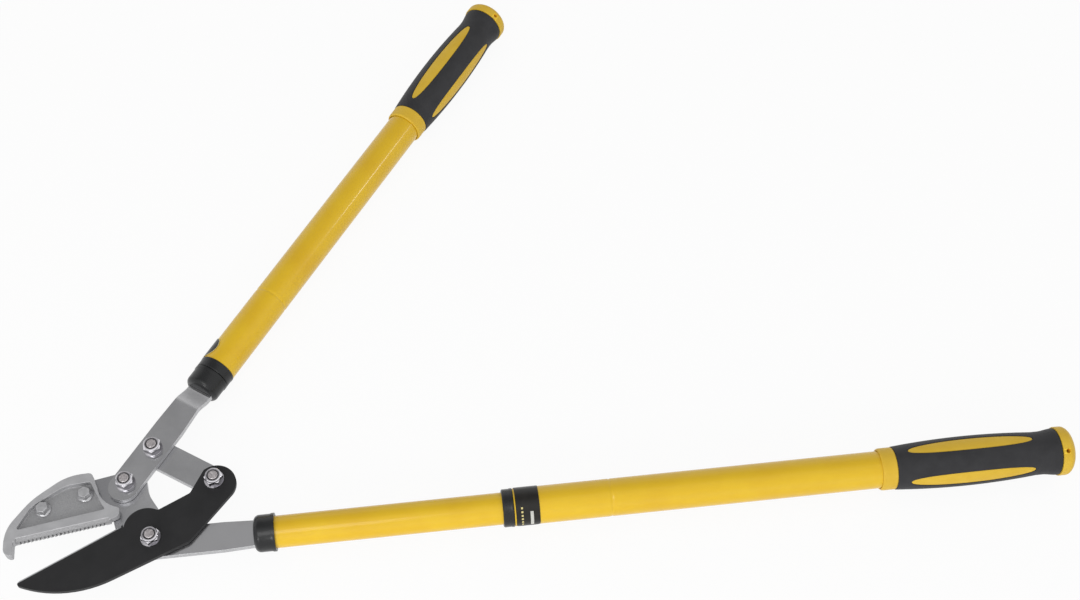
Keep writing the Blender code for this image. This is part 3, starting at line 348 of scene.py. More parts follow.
# %% Cast alloy
noisy(
    "cast_alloy", ((168, 168, 170), (182, 182, 184), 90), (0.42, 0.56, 1500, 5, 0.7),
    (0.00006, 0.5), Metallic=0.5,
)
# Painted shade: the pocket's floor is darker than the rest of the casting.
noisy(
    "pocket_alloy", ((136, 136, 137), (168, 168, 170), 1100, 5, 0.7), (0.5, 0.65), (0.00008, 0.6),
    Metallic=0.4,
)
# Painted shade: a dark colour for the tooth roots and the pocket's near wall.
noisy("painted_shade", ((74, 74, 75), (92, 92, 94), 1300, 4, 0.7), (0.55, 0.7), Metallic=0.2)

# %% [markdown]
# The blade carries a black non-stick coating with a very fine texture. The grinder has cut
# through it along the edge, where bare steel shows with grinding lines across the edge.

# %% Blade coating and ground edge
noisy(
    "coating", ((37, 37, 38), (42, 42, 43), 60), (0.42, 0.52), (0.00003, 0.4, 2200, 4, 0.65),
    Specular_IOR_Level=0.2,
)
noisy(
    "ground_steel", ((150, 150, 152), (200, 200, 202), 5200, 3), (0.2, 0.4), (0.00002, 0.5),
    maps=[{"Rotation": (0, 0, math.radians(-EDGE_ANGLE))}, {"Scale": (1, 0.04, 0.04)}],
    Metallic=1,
)

# %% [markdown]
# The tubes are aluminium under a smooth yellow powder coat, with the faint orange peel that
# such a coat has. The grip's ring, pads and end cap are moulded in a paler yellow plastic. The
# wall of the cap's hole is painted warmer and brighter, as painted light for the light that comes
# through that plastic into the hole.

# %% Yellow coat and yellow plastic
noisy(
    "yellow_coat", ((218, 174, 14), (226, 186, 22), 25), (0.34, 0.42), (0.00001, 0.08, 420, 2),
    Specular_IOR_Level=0.25, Coat_Weight=0.5, Coat_Roughness=0.14,
)
noisy(
    "yellow_plastic", ((214, 174, 46), (222, 184, 58), 60), (0.38, 0.5, 1600, 3), (0.00003, 0.3),
    Specular_IOR_Level=0.3,
)
# Painted light: a brighter, warmer yellow for the wall of the cap's hole.
noisy("hole_plastic", ((250, 206, 60), (255, 214, 72), 300), (0.6, 0.7), Specular_IOR_Level=0.1)

# %% [markdown]
# Ferrules and guide rings are black nylon with a light spark-eroded texture. The grip is soft
# rubber over the yellow core: matt, with a fine dry grain and a faint sheen at its edges.

# %% Black plastic and grip rubber
noisy(
    "black_plastic", ((24, 25, 26), (31, 32, 33), 120), (0.22, 0.32, 2400, 3), (0.00003, 0.3),
    Specular_IOR_Level=0.35,
)
noisy(
    "grip_rubber", ((43, 43, 45), (51, 51, 53), 80), (0.5, 0.64, 1900, 4, 0.6), (0.00005, 0.4),
    Specular_IOR_Level=0.25,
)

# %% [markdown]
# Inside the tubes the lock is moulded in white nylon, which shows only when the tool is taken
# apart. Grey nylon is the locking ring in the top of each nut.

# %% White and grey nylon
noisy(
    "white_nylon", ((218, 218, 212), (230, 230, 225), 150), (0.4, 0.5), (0.00002, 0.3, 1500),
    Subsurface_Weight=0.1, Subsurface_Scale=0.001,
)
noisy("grey_nylon", ((104, 104, 106), (118, 118, 120), 400), (0.4, 0.5), Specular_IOR_Level=0.4)

print("finishes:", ", ".join(LOOKS))

# %% [markdown]
# ## Shaping
# A piece is drawn in its own frame, brought into the row's frame, and then rides on its body
# in place of the CAD node. Weighted normals let the large faces set the shading, so flat sides
# and rounded edges shade cleanly.

# %% Hand a piece over
TOUCH = 0.000001


def dress(name, bm, where, body, node, slot, *looks, sharp=32):
    """Makes a piece for a CAD node. Its looks are finishes, or else the one named as its slot."""
    bmesh.ops.remove_doubles(bm, verts=bm.verts, dist=TOUCH)
    bmesh.ops.recalc_face_normals(bm, faces=bm.faces)
    bm.transform(where)
    mesh = mesh_of(name, bm)
    for look in looks or [slot]:
        mesh.materials.append(LOOKS[look])
    mesh.shade_smooth()
    mesh.set_sharp_from_angle(angle=math.radians(sharp))
    piece = in_scene(name, mesh)
    weighted = piece.modifiers.new("shading", "WEIGHTED_NORMAL")
    weighted.keep_sharp = True
    weighted.weight = 100
    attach(piece, body)
    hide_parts(node)
    print(name, "faces:", len(mesh.polygons))


# %% Small helpers for shapes
def points_in(geom):
    return [part for part in geom if isinstance(part, bmesh.types.BMVert)]


def edges_in(geom):
    return [part for part in geom if isinstance(part, bmesh.types.BMEdge)]


def all_of(bm):
    return bm.verts[:] + bm.edges[:] + bm.faces[:]


def slice_at(bm, point, normal, dist=TOUCH, **more):
    """Cuts all faces along a plane. The shape stays whole unless more is asked for."""
    return bmesh.ops.bisect_plane(
        bm, geom=all_of(bm), dist=dist, plane_co=point, plane_no=normal, **more
    )


def paint(bm, rule):
    """Gives each face the material that the rule names for its middle and its normal."""
    bm.normal_update()
    for face in bm.faces:
        face.material_index = int(rule(face.calc_center_median(), face.normal))


def soften(bm, width, segments=3, angle=35, chosen=None):
    """Bevels every edge sharper than this angle, or those of them that are chosen."""
    edges = [e for e in bm.edges if e.is_manifold and e.calc_face_angle(0) > math.radians(angle)]
    if chosen:
        edges = [e for e in edges if chosen(e)]
    bmesh.ops.bevel(
        bm, geom=edges, offset=width, offset_type="OFFSET", segments=segments, profile=0.5,
        affect="EDGES", clamp_overlap=True, material=-1,
    )


# %% [markdown]
# Some work is done by modifiers, which need an object. A throw-away object carries the shape
# that long, and the result comes back as a bmesh. Closed shells that only stand in each other
# are simply put together, with no boolean.

# %% Combine shapes
def scratch_object(bm):
    """A throw-away object with this shape."""
    return in_scene("scratch", mesh_of("scratch", bm))


def collect(scratch):
    """The first scratch object with its modifiers, as a bmesh. The scratch objects go."""
    bpy.context.view_layer.update()
    made = bmesh.new()
    made.from_object(scratch[0], bpy.context.evaluated_depsgraph_get())
    for item in scratch:
        mesh = item.data
        bpy.data.objects.remove(item)
        bpy.data.meshes.remove(mesh)
    return made


def carve(*shapes):
    """Cuts all the other shapes out of the first one, as clean solids."""
    scratch = [scratch_object(shape) for shape in shapes]
    for cutter in scratch[1:]:
        cut = scratch[0].modifiers.new("cut", "BOOLEAN")
        cut.operation = "DIFFERENCE"
        cut.object = cutter
        cut.solver = "EXACT"
    return collect(scratch)


def put_together(bm, other):
    """Adds another closed shell to a shape."""
    mesh = mesh_of("scratch", other)
    bm.from_mesh(mesh)
    bpy.data.meshes.remove(mesh)


# %% [markdown]
# A plate is a flat outline with some thickness. Each corner of the outline is a fillet, and a
# fillet is a point spun about its centre, so the arcs are true. The filled outline is extruded.

# %% Draw an outline
ARC_STEP = 4


def start_of(stroke):
    if len(stroke) == 3:
        return Vector((*stroke[:2], 0))
    x, y, radius, turn = *stroke[:3], math.radians(stroke[3])
    return Vector((x + radius * math.cos(turn), y + radius * math.sin(turn), 0))


def end_of(stroke):
    return start_of(stroke if len(stroke) == 3 else (*stroke[:3], stroke[4]))


def outline(strokes):
    """A filled outline through corners (x, y, fillet) and arcs (x, y, radius, start, end)."""
    bm = bmesh.new()
    ends = []
    for i, stroke in enumerate(strokes):
        here = start_of(stroke)
        if len(stroke) == 5:
            centre = Vector((*stroke[:2], 0))
            first, sweep = here, math.radians(stroke[4] - stroke[3])
        elif stroke[2] == 0:
            corner = bm.verts.new(here)
            ends.append((corner, corner))
            continue
        else:
            back = (end_of(strokes[i - 1]) - here).normalized()
            ahead = (start_of(strokes[(i + 1) % len(strokes)]) - here).normalized()
            half = back.angle(ahead) / 2
            centre = here + (back + ahead).normalized() * (stroke[2] / math.sin(half))
            first = here + back * (stroke[2] / math.tan(half))
            sweep = math.copysign(math.pi - 2 * half, ahead.cross(back).z)
        begin = bm.verts.new(first)
        steps = max(2, math.ceil(abs(math.degrees(sweep)) / ARC_STEP))
        spun = bmesh.ops.spin(
            bm, geom=[begin], cent=centre, axis=(0, 0, 1), angle=sweep, steps=steps
        )
        ends.append((begin, points_in(spun["geom_last"])[0]))
    for (_, last), (first, _) in zip(ends, ends[1:] + ends[:1]):
        bm.edges.new((last, first))
    bmesh.ops.remove_doubles(bm, verts=bm.verts, dist=TOUCH)
    bmesh.ops.edgeloop_fill(bm, edges=bm.edges)
    return bm


# %% Give it thickness and holes
def raise_by(bm, faces, way):
    """Draws faces out along a vector, into a closed solid."""
    drawn = bmesh.ops.extrude_face_region(bm, geom=faces)
    bmesh.ops.translate(bm, verts=points_in(drawn["geom"]), vec=way)
    bmesh.ops.recalc_face_normals(bm, faces=bm.faces)


def plate(strokes, bottom, top):
    """A flat solid with this outline."""
    bm = outline(strokes)
    bmesh.ops.translate(bm, verts=bm.verts, vec=(0, 0, bottom))
    raise_by(bm, bm.faces[:], (0, 0, top - bottom))
    return bm


def peg(x, y, radius, bottom=-0.02, top=0.02):
    """A round peg that stands upright, to drill a hole with."""
    bm = bmesh.new()
    bmesh.ops.create_cone(
        bm, cap_ends=True, segments=48, radius1=radius, radius2=radius, depth=top - bottom,
        matrix=shift(x, y, (bottom + top) / 2),
    )
    return bm


# %% [markdown]
# Everything round is turned, as on a lathe: a profile of a few points is spun about the axis.
# Handles turn about X, and bolts, nuts and rivets stand up along Z.

# %% Turn a profile
def turned(points, steps=96, closed=False, upright=False):
    """Spins (place, radius) points about the axis. An open profile starts and ends on it."""
    bm = bmesh.new()
    verts = [bm.verts.new((place, 0, radius)) for place, radius in points]
    pairs = list(zip(verts, verts[1:])) + ([(verts[-1], verts[0])] if closed else [])
    edges = [bm.edges.new(pair) for pair in pairs]
    bmesh.ops.spin(
        bm, geom=verts + edges, cent=(0, 0, 0), axis=(1, 0, 0), angle=2 * math.pi, steps=steps,
        use_merge=True,
    )
    bmesh.ops.remove_doubles(bm, verts=bm.verts, dist=TOUCH)
    bmesh.ops.recalc_face_normals(bm, faces=bm.faces)
    if upright:
        bm.transform(rotation(-90, "Y"))
    return bm


def ring(points, *bevel, steps=128, upright=False):
    """Turns a closed profile and softens its edges."""
    bm = turned(points, steps, True, upright)
    soften(bm, *bevel)
    return bm


# %% [markdown]
# ## The steel bars
# The lower handle's bar is cut in one with the back plate of the head. Its outline has soft
# corners from the press tool. Two holes take the pivots, two the anvil's rivets, and the last
# one, inside the ferrule, takes the pin that holds the handle.

# %% Back plate
PLATE, GAP, BOLT_HOLE, PIN_HOLE = 0.005, 0.0003, 0.0043, 0.0028
HALF_NECK, HALF_TANG = 0.0109, 0.01
RIVET_HOLE, RIVET_HOLES = 0.0033, ((-0.0853, 0.0336), (-0.053, 0.0428))


def on_line(angle, distance, x):
    """The point at x on a line at this angle that passes above the pivot at this distance."""
    slope = math.radians(angle)
    return x, x * math.tan(slope) + distance / math.cos(slope)


def bite(distance, x):
    """The point at x on a line along the anvil's bite."""
    return on_line(BITE_ANGLE, distance, x)


def tang(neck_x, neck_y, axis_y, seat_x):
    """A bar's end: the neck as far as the ferrule, then the narrower tang inside the tube."""
    shoulder, end = seat_x - 0.0143, seat_x + 0.0215
    return [
        (neck_x, neck_y - HALF_NECK, 0.02), (shoulder, neck_y - HALF_NECK, 0),
        (shoulder, axis_y - HALF_TANG, 0), (end, axis_y - HALF_TANG, 0.002),
        (end, axis_y + HALF_TANG, 0.002), (shoulder, axis_y + HALF_TANG, 0),
        (shoulder, neck_y + HALF_NECK, 0), (neck_x, neck_y + HALF_NECK, 0.02),
    ]


def side(spot, normal):
    """Whether a face belongs to the cut sides of a plate."""
    return abs(normal.z) < 0.35


back_plate = carve(
    plate([
        (*bite(0.0275, -0.1025), 0.004), (*bite(0.0275, -0.031), 0.002), (-0.0272, 0.008, 0.012),
        (-0.017, -0.0149, 0.016), (0.056, -0.0149, 0.03), *tang(0.078, -0.0029, -0.0029, 0.096),
        (0.056, 0.0091, 0.03), (0.0148, 0.0091, 0.03), (-0.003, 0.04, 0.03),
        (-0.0062, 0.0648, 0.013), (-0.045, 0.0578, 0), (-0.06, 0.057, 0.02),
        (-0.084, 0.044, 0.06),
    ], -PLATE / 2, PLATE / 2),
    peg(0, 0, BOLT_HOLE),
    peg(*LEVER_PIVOT, BOLT_HOLE),
    *[peg(*hole, RIVET_HOLE) for hole in RIVET_HOLES],
    peg(0.0895, -0.0029, PIN_HOLE),
)
soften(back_plate, 0.0004)
paint(back_plate, side)
dress("back_plate", back_plate, HEAD, "jaw", "jaw_plate", "satin_steel",
      "plate_steel", "cut_steel")

# %% [markdown]
# The link is the simplest bar: two half circles joined by straight sides. It pulls the blade's
# tail when the upper handle swings.

# %% Link
LINK_RADIUS = 0.012
reach = TAIL_PIVOT - LINK_PIVOT
LINK = HEAD @ shift(*LINK_PIVOT) @ Matrix.Rotation(math.atan2(reach.y, reach.x), 4, "Z")
link = carve(
    plate([
        (0, 0, LINK_RADIUS, 90, 270), (reach.length, 0, LINK_RADIUS, -90, 90),
    ], -PLATE / 2, PLATE / 2),
    peg(0, 0, BOLT_HOLE),
    peg(reach.length, 0, 0.005),
)
soften(link, 0.0004)
paint(link, side)
dress("link_strap", link, LINK, "link", "link_bar", "satin_steel", "satin_steel", "cut_steel")
print("link length", round(reach.length, 4))

# %% [markdown]
# The upper bar lies in front of the back plate and steps back into the tube's plane just before
# the ferrule. The flat bar is cut across at 25 places there, and each cut is lowered along a
# smooth S, which is what the press brake does to the real bar.

# %% Upper bar
BEND_CUTS = 25
low_z, high_z = PLATE / 2 + GAP, PLATE * 1.5 + GAP
link_seat = Matrix.Rotation(math.radians(-HANDLE_ANGLE), 2) @ (LINK_PIVOT - LEVER_PIVOT)
upper_bar = carve(
    plate([
        (-0.0158, -0.0125, 0.0119), (0.058, -0.0125, 0.08), *tang(0.082, -0.0001, 0.0006, 0.1163),
        (0.058, 0.0115, 0.08), (-0.0158, 0.0115, 0.0119),
    ], low_z, high_z),
    peg(0, 0, BOLT_HOLE),
    peg(*link_seat, BOLT_HOLE),
    peg(0.1098, 0.0006, PIN_HOLE),
)
soften(upper_bar, 0.0011, 5)
for i in range(BEND_CUTS):
    x = BEND_START + (BEND_END - BEND_START) * i / (BEND_CUTS - 1)
    slice_at(upper_bar, (x, 0, 0), (1, 0, 0))
for v in upper_bar.verts:
    share = min(1, max(0, (v.co.x - BEND_START) / (BEND_END - BEND_START)))
    v.co.z -= (PLATE + GAP) * (share * share * (3 - 2 * share))


def part_of_bar(spot, normal):
    if side(spot, normal):
        return 1
    # The bend takes the paler finish, which is painted light.
    if BEND_START < spot.x < BEND_END + 0.004:
        return 2
    # The rounded edges take the darker finish, which is painted shade.
    return 3 if normal.z < 0.94 else 0


paint(upper_bar, part_of_bar)
dress("upper_bar", upper_bar, LEVER, "lever", "lever_bar", "satin_steel",
      "satin_steel", "cut_steel", "bent_steel", "edge_steel")

# %% [markdown]
# ## The anvil
# The anvil is a casting: a thick hooked block with a sunk pocket, a sloping front and cross
# teeth on its working face. The block is carved first. A voxel remesh and a little smoothing
# then round every edge inside and out by the same small amount, as a casting's edges are.

# %% Anvil block, the bed for the back plate under it, and the pocket
ANVIL_TOP, BITE_LINE = 0.009, 0.0224
anvil_body = plate([
    (*bite(BITE_LINE, -0.1058), 0.0012), (-0.106, -0.0042, 0.0012), (-0.1128, -0.003, 0.006),
    (-0.113, 0.018, 0.03), (-0.0935, 0.042, 0.06), (-0.0662, 0.0604, 0.04),
    (-0.047, 0.0612, 0.004), (*LEVER_PIVOT, 0.0219, 188, 252), (-0.0243, 0.0279, 0.003),
    (-0.0245, 0.0211, 0.003), (*bite(BITE_LINE, -0.0312), 0.0015),
], GAP, ANVIL_TOP)
bed = plate([
    (*bite(0.0272, -0.13), 0), (*bite(0.0272, -0.0316), 0), (-0.0316, 0, 0), (0, 0, 0),
    (0, 0.08, 0), (-0.13, 0.08, 0),
], -0.01, PLATE / 2 + GAP)
pocket = plate([
    (*bite(0.0322, -0.104), 0.0015), (*bite(0.0329, -0.036), 0.001), (-0.039, 0.0328, 0.006),
    (-0.0482, 0.0524, 0.002), (-0.067, 0.0512, 0.03), (-0.093, 0.036, 0.02),
], 0.0052, 0.0105)
wide = [v for v in pocket.verts if v.co.z > 0.01]
bmesh.ops.scale(pocket, verts=wide, vec=(1.025, 1.06, 1), space=shift(0.067, -0.036))
soften(anvil_body, 0.0018, 3, 60, lambda e: all(
    v.co.z > ANVIL_TOP - 0.0001 and v.co.x > -0.033 and v.co.y < 0.031 for v in e.verts))
print("anvil corners:", len(anvil_body.verts))

# %% [markdown]
# The slope along the front edge and the teeth are cut with wedges laid along the working line.
# One three-sided peg is copied along the line to make all the grooves.

# %% Anvil slope and teeth
TEETH, TOOTH_PITCH, GROOVE, GROOVE_DEPTH = 22, 0.00309, 0.0015, 0.006
along_line = shift(*bite(BITE_LINE, -0.104)) @ rotation(BITE_ANGLE)
slope = bmesh.new()
wedge = ((0, -0.0015, 0.004), (0, 0.0037, 0.011), (0, -0.0015, 0.011))
slope.faces.new([slope.verts.new(point) for point in wedge])
raise_by(slope, slope.faces[:], (0.0725, 0, 0))
slope.transform(along_line)

teeth = bmesh.new()
for i in range(TEETH):
    bmesh.ops.create_cone(
        teeth, cap_ends=True, segments=3, radius1=GROOVE, radius2=GROOVE, depth=GROOVE_DEPTH,
        matrix=shift(0.0033 + TOOTH_PITCH * i, -0.0003, 0.0019) @ rotation(90),
    )
teeth.transform(along_line)


# %% [markdown]
# After the remesh the faces are sorted by where they lie: the pocket's floor and the front of
# the teeth take the rough, darker alloy, which on the floor is painted shade. The flanks of the
# grooves and the pocket's near wall take the dark one, which is painted shade.

# %% Cast the anvil
VOXEL, PASSES = 0.00031, 3
anvil_body = carve(
    anvil_body, bed, slope, teeth, pocket, *[peg(*hole, RIVET_HOLE) for hole in RIVET_HOLES]
)
lump = scratch_object(anvil_body)
cubes = lump.modifiers.new("cubes", "REMESH")
cubes.mode = "VOXEL"
cubes.voxel_size = VOXEL
even = lump.modifiers.new("even", "SMOOTH")
even.factor = 0.5
even.iterations = PASSES
anvil_body = collect([lump])

bite_cos, bite_sin = math.cos(math.radians(BITE_ANGLE)), math.sin(math.radians(BITE_ANGLE))


def part_of_anvil(spot, normal):
    above_line = spot.y * bite_cos - spot.x * bite_sin
    flank = abs(normal.x * bite_cos + normal.y * bite_sin)
    # The pocket's floor takes the darker alloy: painted shade in the recess.
    if above_line > 0.03 and spot.z < 0.0058:
        return 0.004 < spot.z and normal.z > 0.6
    # The pocket's near wall and the grooves' flanks below take the dark finish: painted shade.
    if 0.0308 < above_line < 0.0345 and normal.y > 0.3 and spot.z < 0.0086:
        return 2
    if above_line < 0.0236 and flank > 0.42 and -0.1035 < spot.x < -0.033:
        return 2
    return above_line < 0.025 and 0.003 < spot.z < 0.0087 and -0.1045 < spot.x < -0.03


paint(anvil_body, part_of_anvil)
dress("cast_anvil", anvil_body, HEAD, "jaw", "anvil", "cast_aluminium",
      "cast_alloy", "pocket_alloy", "painted_shade", sharp=80)

# %% [markdown]
# Two stout rivets hold the anvil. A round flange sits in the pocket under a head that was
# pressed to six sides, and the tail is spread under the back plate. Turned in only six steps,
# the head gets its sides. It is then put together with the round rest.

# %% Rivets
RIVETS = {"front": ((-0.0846, 0.0343), 47), "rear": ((-0.0523, 0.0437), 37)}
for tag, (centre, turn) in RIVETS.items():
    rivet = turned([
        (0.0078, 0), (0.0078, 0.005), (0.0061, 0.0064), (0.0055, 0.0064), (0.0055, 0.003),
        (-0.0028, 0.003), (-0.0028, 0.005), (-0.005, 0.0033), (-0.005, 0),
    ], steps=64, upright=True)
    soften(rivet, 0.0005, 3, 25)
    head = turned([
        (0.0109, 0), (0.0109, 0.0046), (0.0083, 0.006), (0.0074, 0.006), (0.0074, 0),
    ], steps=6, upright=True)
    soften(head, 0.0003, 3, 25)
    head.transform(rotation(turn))
    put_together(rivet, head)
    where = HEAD @ shift(*centre)
    dress("rivet_" + tag, rivet, where, "jaw", "anvil_rivet_" + tag, "zinc_steel", "rivet_steel")

# %% [markdown]
# ## The blade
# The blade is cut from plate, coated black and ground along its edge. Two planes cut the faces
# along the grinding limits. The edge itself is then drawn in to a thin land, so the faces
# between become the two grinding slopes: a black one, and a narrow bare one next to the edge.

# %% Blade
EDGE_LINE, LAND = 0.0221, 0.05
blade_low, blade_high = PLATE / 2 + GAP, PLATE / 2 + 0.0043
tip = on_line(EDGE_ANGLE, EDGE_LINE, -0.1052)
blade = carve(
    plate([
        (-0.0042, 0.0088, 0.0173, 172, 62), (0.0055, 0.0236, 0.002), (0.0302, 0.0355, 0.004),
        (0.0505, 0.0415, 0.0162, 126, -36), (0.0297, -0.0064, 0.01), (-0.0628, -0.0449, 0.0865),
        (*tip, 0.0029), (*on_line(EDGE_ANGLE, EDGE_LINE, -0.0222), 0),
    ], blade_low, blade_high),
    peg(0, 0, BOLT_HOLE),
    peg(*TAIL_PIVOT, BOLT_HOLE),
)
soften(blade, 0.00025, 2)

# %% Grind its edge
BARE, SLOPE, GRIND_END = 0.0011, 0.005, -0.0235
across = Vector((-math.sin(math.radians(EDGE_ANGLE)), math.cos(math.radians(EDGE_ANGLE)), 0))
edge_point = Vector((*tip, 0))
for depth in (BARE, SLOPE):
    slice_at(blade, edge_point - across * depth, across)
slice_at(blade, (GRIND_END, 0, 0), (1, 0, 0))
middle_z = (blade_low + blade_high) / 2
for v in blade.verts:
    depth = (edge_point - v.co).dot(across)
    if depth < SLOPE and v.co.x < GRIND_END + 0.00001:
        share = max(0, depth / SLOPE)
        v.co.z = middle_z + (v.co.z - middle_z) * (LAND + (1 - LAND) * share)
paint(blade, lambda spot, _: (edge_point - spot).dot(across) < BARE and spot.x < GRIND_END)
dress("black_blade", blade, HEAD, "blade", "blade", "coated_blade", "coating", "ground_steel")

# %% [markdown]
# ## Pivots
# Each pivot is a hex bolt from below and a locking nut on top. A nut is turned first, with its
# chamfer and its round collar, and then six planes cut the flats. The chamfer leaves the curved
# corners that every real nut has. The two nuts on the upper bar stand on a thin flange, and the
# other two on a washer.

# %% Cut six flats
HALF_WIDTH, CORNER, BORE_RADIUS = 0.0065, 0.0075, 0.0043


def six_flats(bm, turn):
    """Cuts the six flats of a 13 mm hexagon."""
    for i in range(6):
        angle = math.radians(turn + 60 * i)
        normal = Vector((math.cos(angle), math.sin(angle), 0))
        cut = slice_at(bm, normal * HALF_WIDTH, normal, TOUCH / 10, clear_outer=True)
        bmesh.ops.edgeloop_fill(bm, edges=edges_in(cut["geom_cut"]))
    bmesh.ops.recalc_face_normals(bm, faces=bm.faces)


def washer(low, high, inner, outer):
    points = [(low, inner), (high, inner), (high, outer), (low, outer)]
    return ring(points, 0.0003, steps=96, upright=True)


# %% Nuts, bolts and washers
PIVOTS = {
    "main": ((0, 0), 0.0068, 0.0065, 51, "jaw"),
    "lever": (LEVER_PIVOT, 0.0078, 0.0083, 59, "jaw"),
    "tail": (TAIL_PIVOT, 0.0068, 0.0074, 32, "blade"),
    "link": (LINK_PIVOT, 0.0078, 0.008, 59, "lever"),
}


def part_of_nut(spot, normal):
    """Tells the nylon ring and the flats from the rest of the nut."""
    if spot.z > rim - 0.0013 and spot.xy.length < 0.00492:
        return 1
    upright = abs(normal.z) < 0.2 and spot.xy.length > 0.006
    # The flats take the darker zinc, which is a painted reflection.
    return 2 if upright and seat + 0.0011 < spot.z < rim - 0.0022 else 0


for tag, (centre, top_of_bar, tall, turn, body) in PIVOTS.items():
    where = HEAD @ shift(*centre)
    seat = top_of_bar + GAP
    with_washer = tag in ("main", "tail")
    if with_washer:
        disc = washer(seat, seat + 0.001, BORE_RADIUS, 0.0079)
        dress("washer_" + tag, disc, where, body, tag + "_washer", "zinc_steel")
        seat += 0.0011
    rim = seat + tall
    nut = turned([
        (seat, BORE_RADIUS), (seat, 0.0066), (seat + 0.0005, CORNER), (rim - 0.0028, CORNER),
        (rim - 0.002, 0.0065), (rim - 0.0008, 0.0064), (rim, 0.0058), (rim, 0.0051),
        (rim - 0.0003, 0.0049), (rim - 0.0012, 0.0049), (rim - 0.0012, BORE_RADIUS),
    ], closed=True, upright=True)
    six_flats(nut, turn)
    if not with_washer:
        put_together(nut, washer(seat + 0.00002, seat + 0.001, 0.005, 0.0077))
    paint(nut, part_of_nut)
    dress("nut_" + tag, nut, where, body, tag + "_nut", "zinc_steel",
          "zinc_steel", "grey_nylon", "zinc_flats", sharp=25)

    under, tip_z = -PLATE / 2 - GAP, rim + 0.0004
    bolt = turned([
        (tip_z, 0), (tip_z, 0.0033), (tip_z - 0.0007, 0.0039), (tip_z - 0.0012, 0.004),
        (under, 0.004), (under, CORNER), (under - 0.0047, CORNER), (under - 0.0053, 0.0062),
        (under - 0.0053, 0),
    ], upright=True)
    six_flats(bolt, turn + 12)
    paint(bolt, lambda spot, _: spot.z > tip_z - 0.0009)
    dress("bolt_" + tag, bolt, where, body, tag + "_bolt", "zinc_steel",
          "zinc_steel", "bolt_end", sharp=25)

# %% [markdown]
# ## The handles
# Both handles are made alike, so nearly all of their pieces are drawn once and dressed twice.
# A ferrule closes the inner tube round the bar's neck. Its nose is well rounded, and a slot
# lets the bar through.

# %% Dress both handles
FIXED = {"a": "jaw", "b": "lever"}
SLIDING = {"a": "outer_a", "b": "outer_b"}


def dress_both(name, bm, where, body, node, *looks, **more):
    """Dresses the same piece on the lower and on the upper handle."""
    for tag in "ab":
        dress(name + tag, bm.copy(), where[tag], body[tag], node + tag, *looks, **more)
    bm.free()


# %% Ferrules
NOSE, NOSE_RADIUS, NOSE_FILLET, NOSE_STEPS = -0.0165, 0.0147, 0.0045, 10
nose = []
for i in range(NOSE_STEPS, -1, -1):
    turn = math.radians(90 * i / NOSE_STEPS)
    back, inwards = NOSE_FILLET * (1 - math.sin(turn)), NOSE_FILLET * (1 - math.cos(turn))
    nose.append((NOSE + back, NOSE_RADIUS - inwards))
slot = bmesh.new()
size = Matrix.Diagonal((0.022, 0.024, 0.0056, 1))
bmesh.ops.create_cube(slot, size=1, matrix=shift(-0.019, 0) @ size)
shell = carve(turned([
    (NOSE, 0), *nose, (-0.0034, NOSE_RADIUS), (-0.0024, 0.0152), (0, 0.0152), (0, 0.01305),
    (-0.0135, 0.01305), (-0.0135, 0),
], 128), slot)
soften(shell, 0.0003, 2, 40)
dress_both("ferrule_shell_", shell, SEAT, FIXED, "ferrule_", "black_plastic")

# %% [markdown]
# The inner tube is a plain drawn tube. The outer tube slides on it and carries the guide ring at
# its mouth. A rolled crimp a hand's width further on stops the lock from pulling out.

# %% Tubes and guide rings
INNER, INNER_START, INNER_END = 0.01275, -0.0132, 0.2673
BORE, OUTER_R, OUTER_START, OUTER_END = 0.014, 0.015, 0.009, 0.4529
CRIMP, CRIMP_HALF, CRIMP_DEPTH = 0.0869, 0.0019, 0.0003
inner = ring([
    (INNER_START, INNER), (INNER_END, INNER), (INNER_END, INNER - 0.001),
    (INNER_START, INNER - 0.001),
], 0.0002, 2)
dress_both("inner_pipe_", inner, SEAT, FIXED, "inner_tube_", "yellow_paint", "yellow_coat")

groove = [
    (CRIMP + CRIMP_HALF * k / 6, CRIMP_DEPTH * math.cos(math.pi * k / 12) ** 2)
    for k in range(-6, 7)
]
outer = ring([
    (OUTER_START, OUTER_R), *[(x, OUTER_R - deep) for x, deep in groove], (OUTER_END, OUTER_R),
    (OUTER_END, BORE), *[(x, BORE - deep) for x, deep in groove[::-1]], (OUTER_START, BORE),
], 0.0002, 2)
dress_both("outer_pipe_", outer, OUTER, SLIDING, "outer_tube_", "yellow_paint", "yellow_coat")

guide = ring([
    (0, 0.0143), (0.0008, 0.0151), (0.0062, 0.0151), (0.0069, 0.0154), (0.0087, 0.0154),
    (0.0087, 0.0137), (0.0257, 0.0137), (0.0257, 0.01305), (0, 0.01305),
], 0.0003, 3, 30)
dress_both("guide_ring_", guide, OUTER, SLIDING, "collar_", "black_plastic")

# %% [markdown]
# ## The grip
# The grip swells like a long barrel, narrows to a waist and flares at its end. One function
# gives that radius at every place, and both the rubber and the yellow pads follow it.

# %% The barrel's line
SLEEVE_START, PEAK, BARREL_END, WAIST, SLEEVE_END = 0.3177, 0.377, 0.4345, 0.44, 0.4529
WINDOW_START, WINDOW_END = 0.3282, 0.4315
PEAK_RADIUS, FLARE_RADIUS = 0.02008, 0.019


def barrel(place):
    """The grip's radius at this place on the handle."""
    end, edge = (0.3174, 0.01735) if place < PEAK else (BARREL_END, 0.01755)
    share = (min(place, BARREL_END) - PEAK) / (end - PEAK)
    radius = PEAK_RADIUS - (PEAK_RADIUS - edge) * share ** 2
    if place <= WAIST:
        return radius
    rise = (place - WAIST) / (SLEEVE_END - WAIST)
    return radius + (FLARE_RADIUS - radius) * (3 * rise ** 2 - 2 * rise ** 3)


print("barrel radius at the peak and the waist:", barrel(PEAK), round(barrel(WAIST), 5))

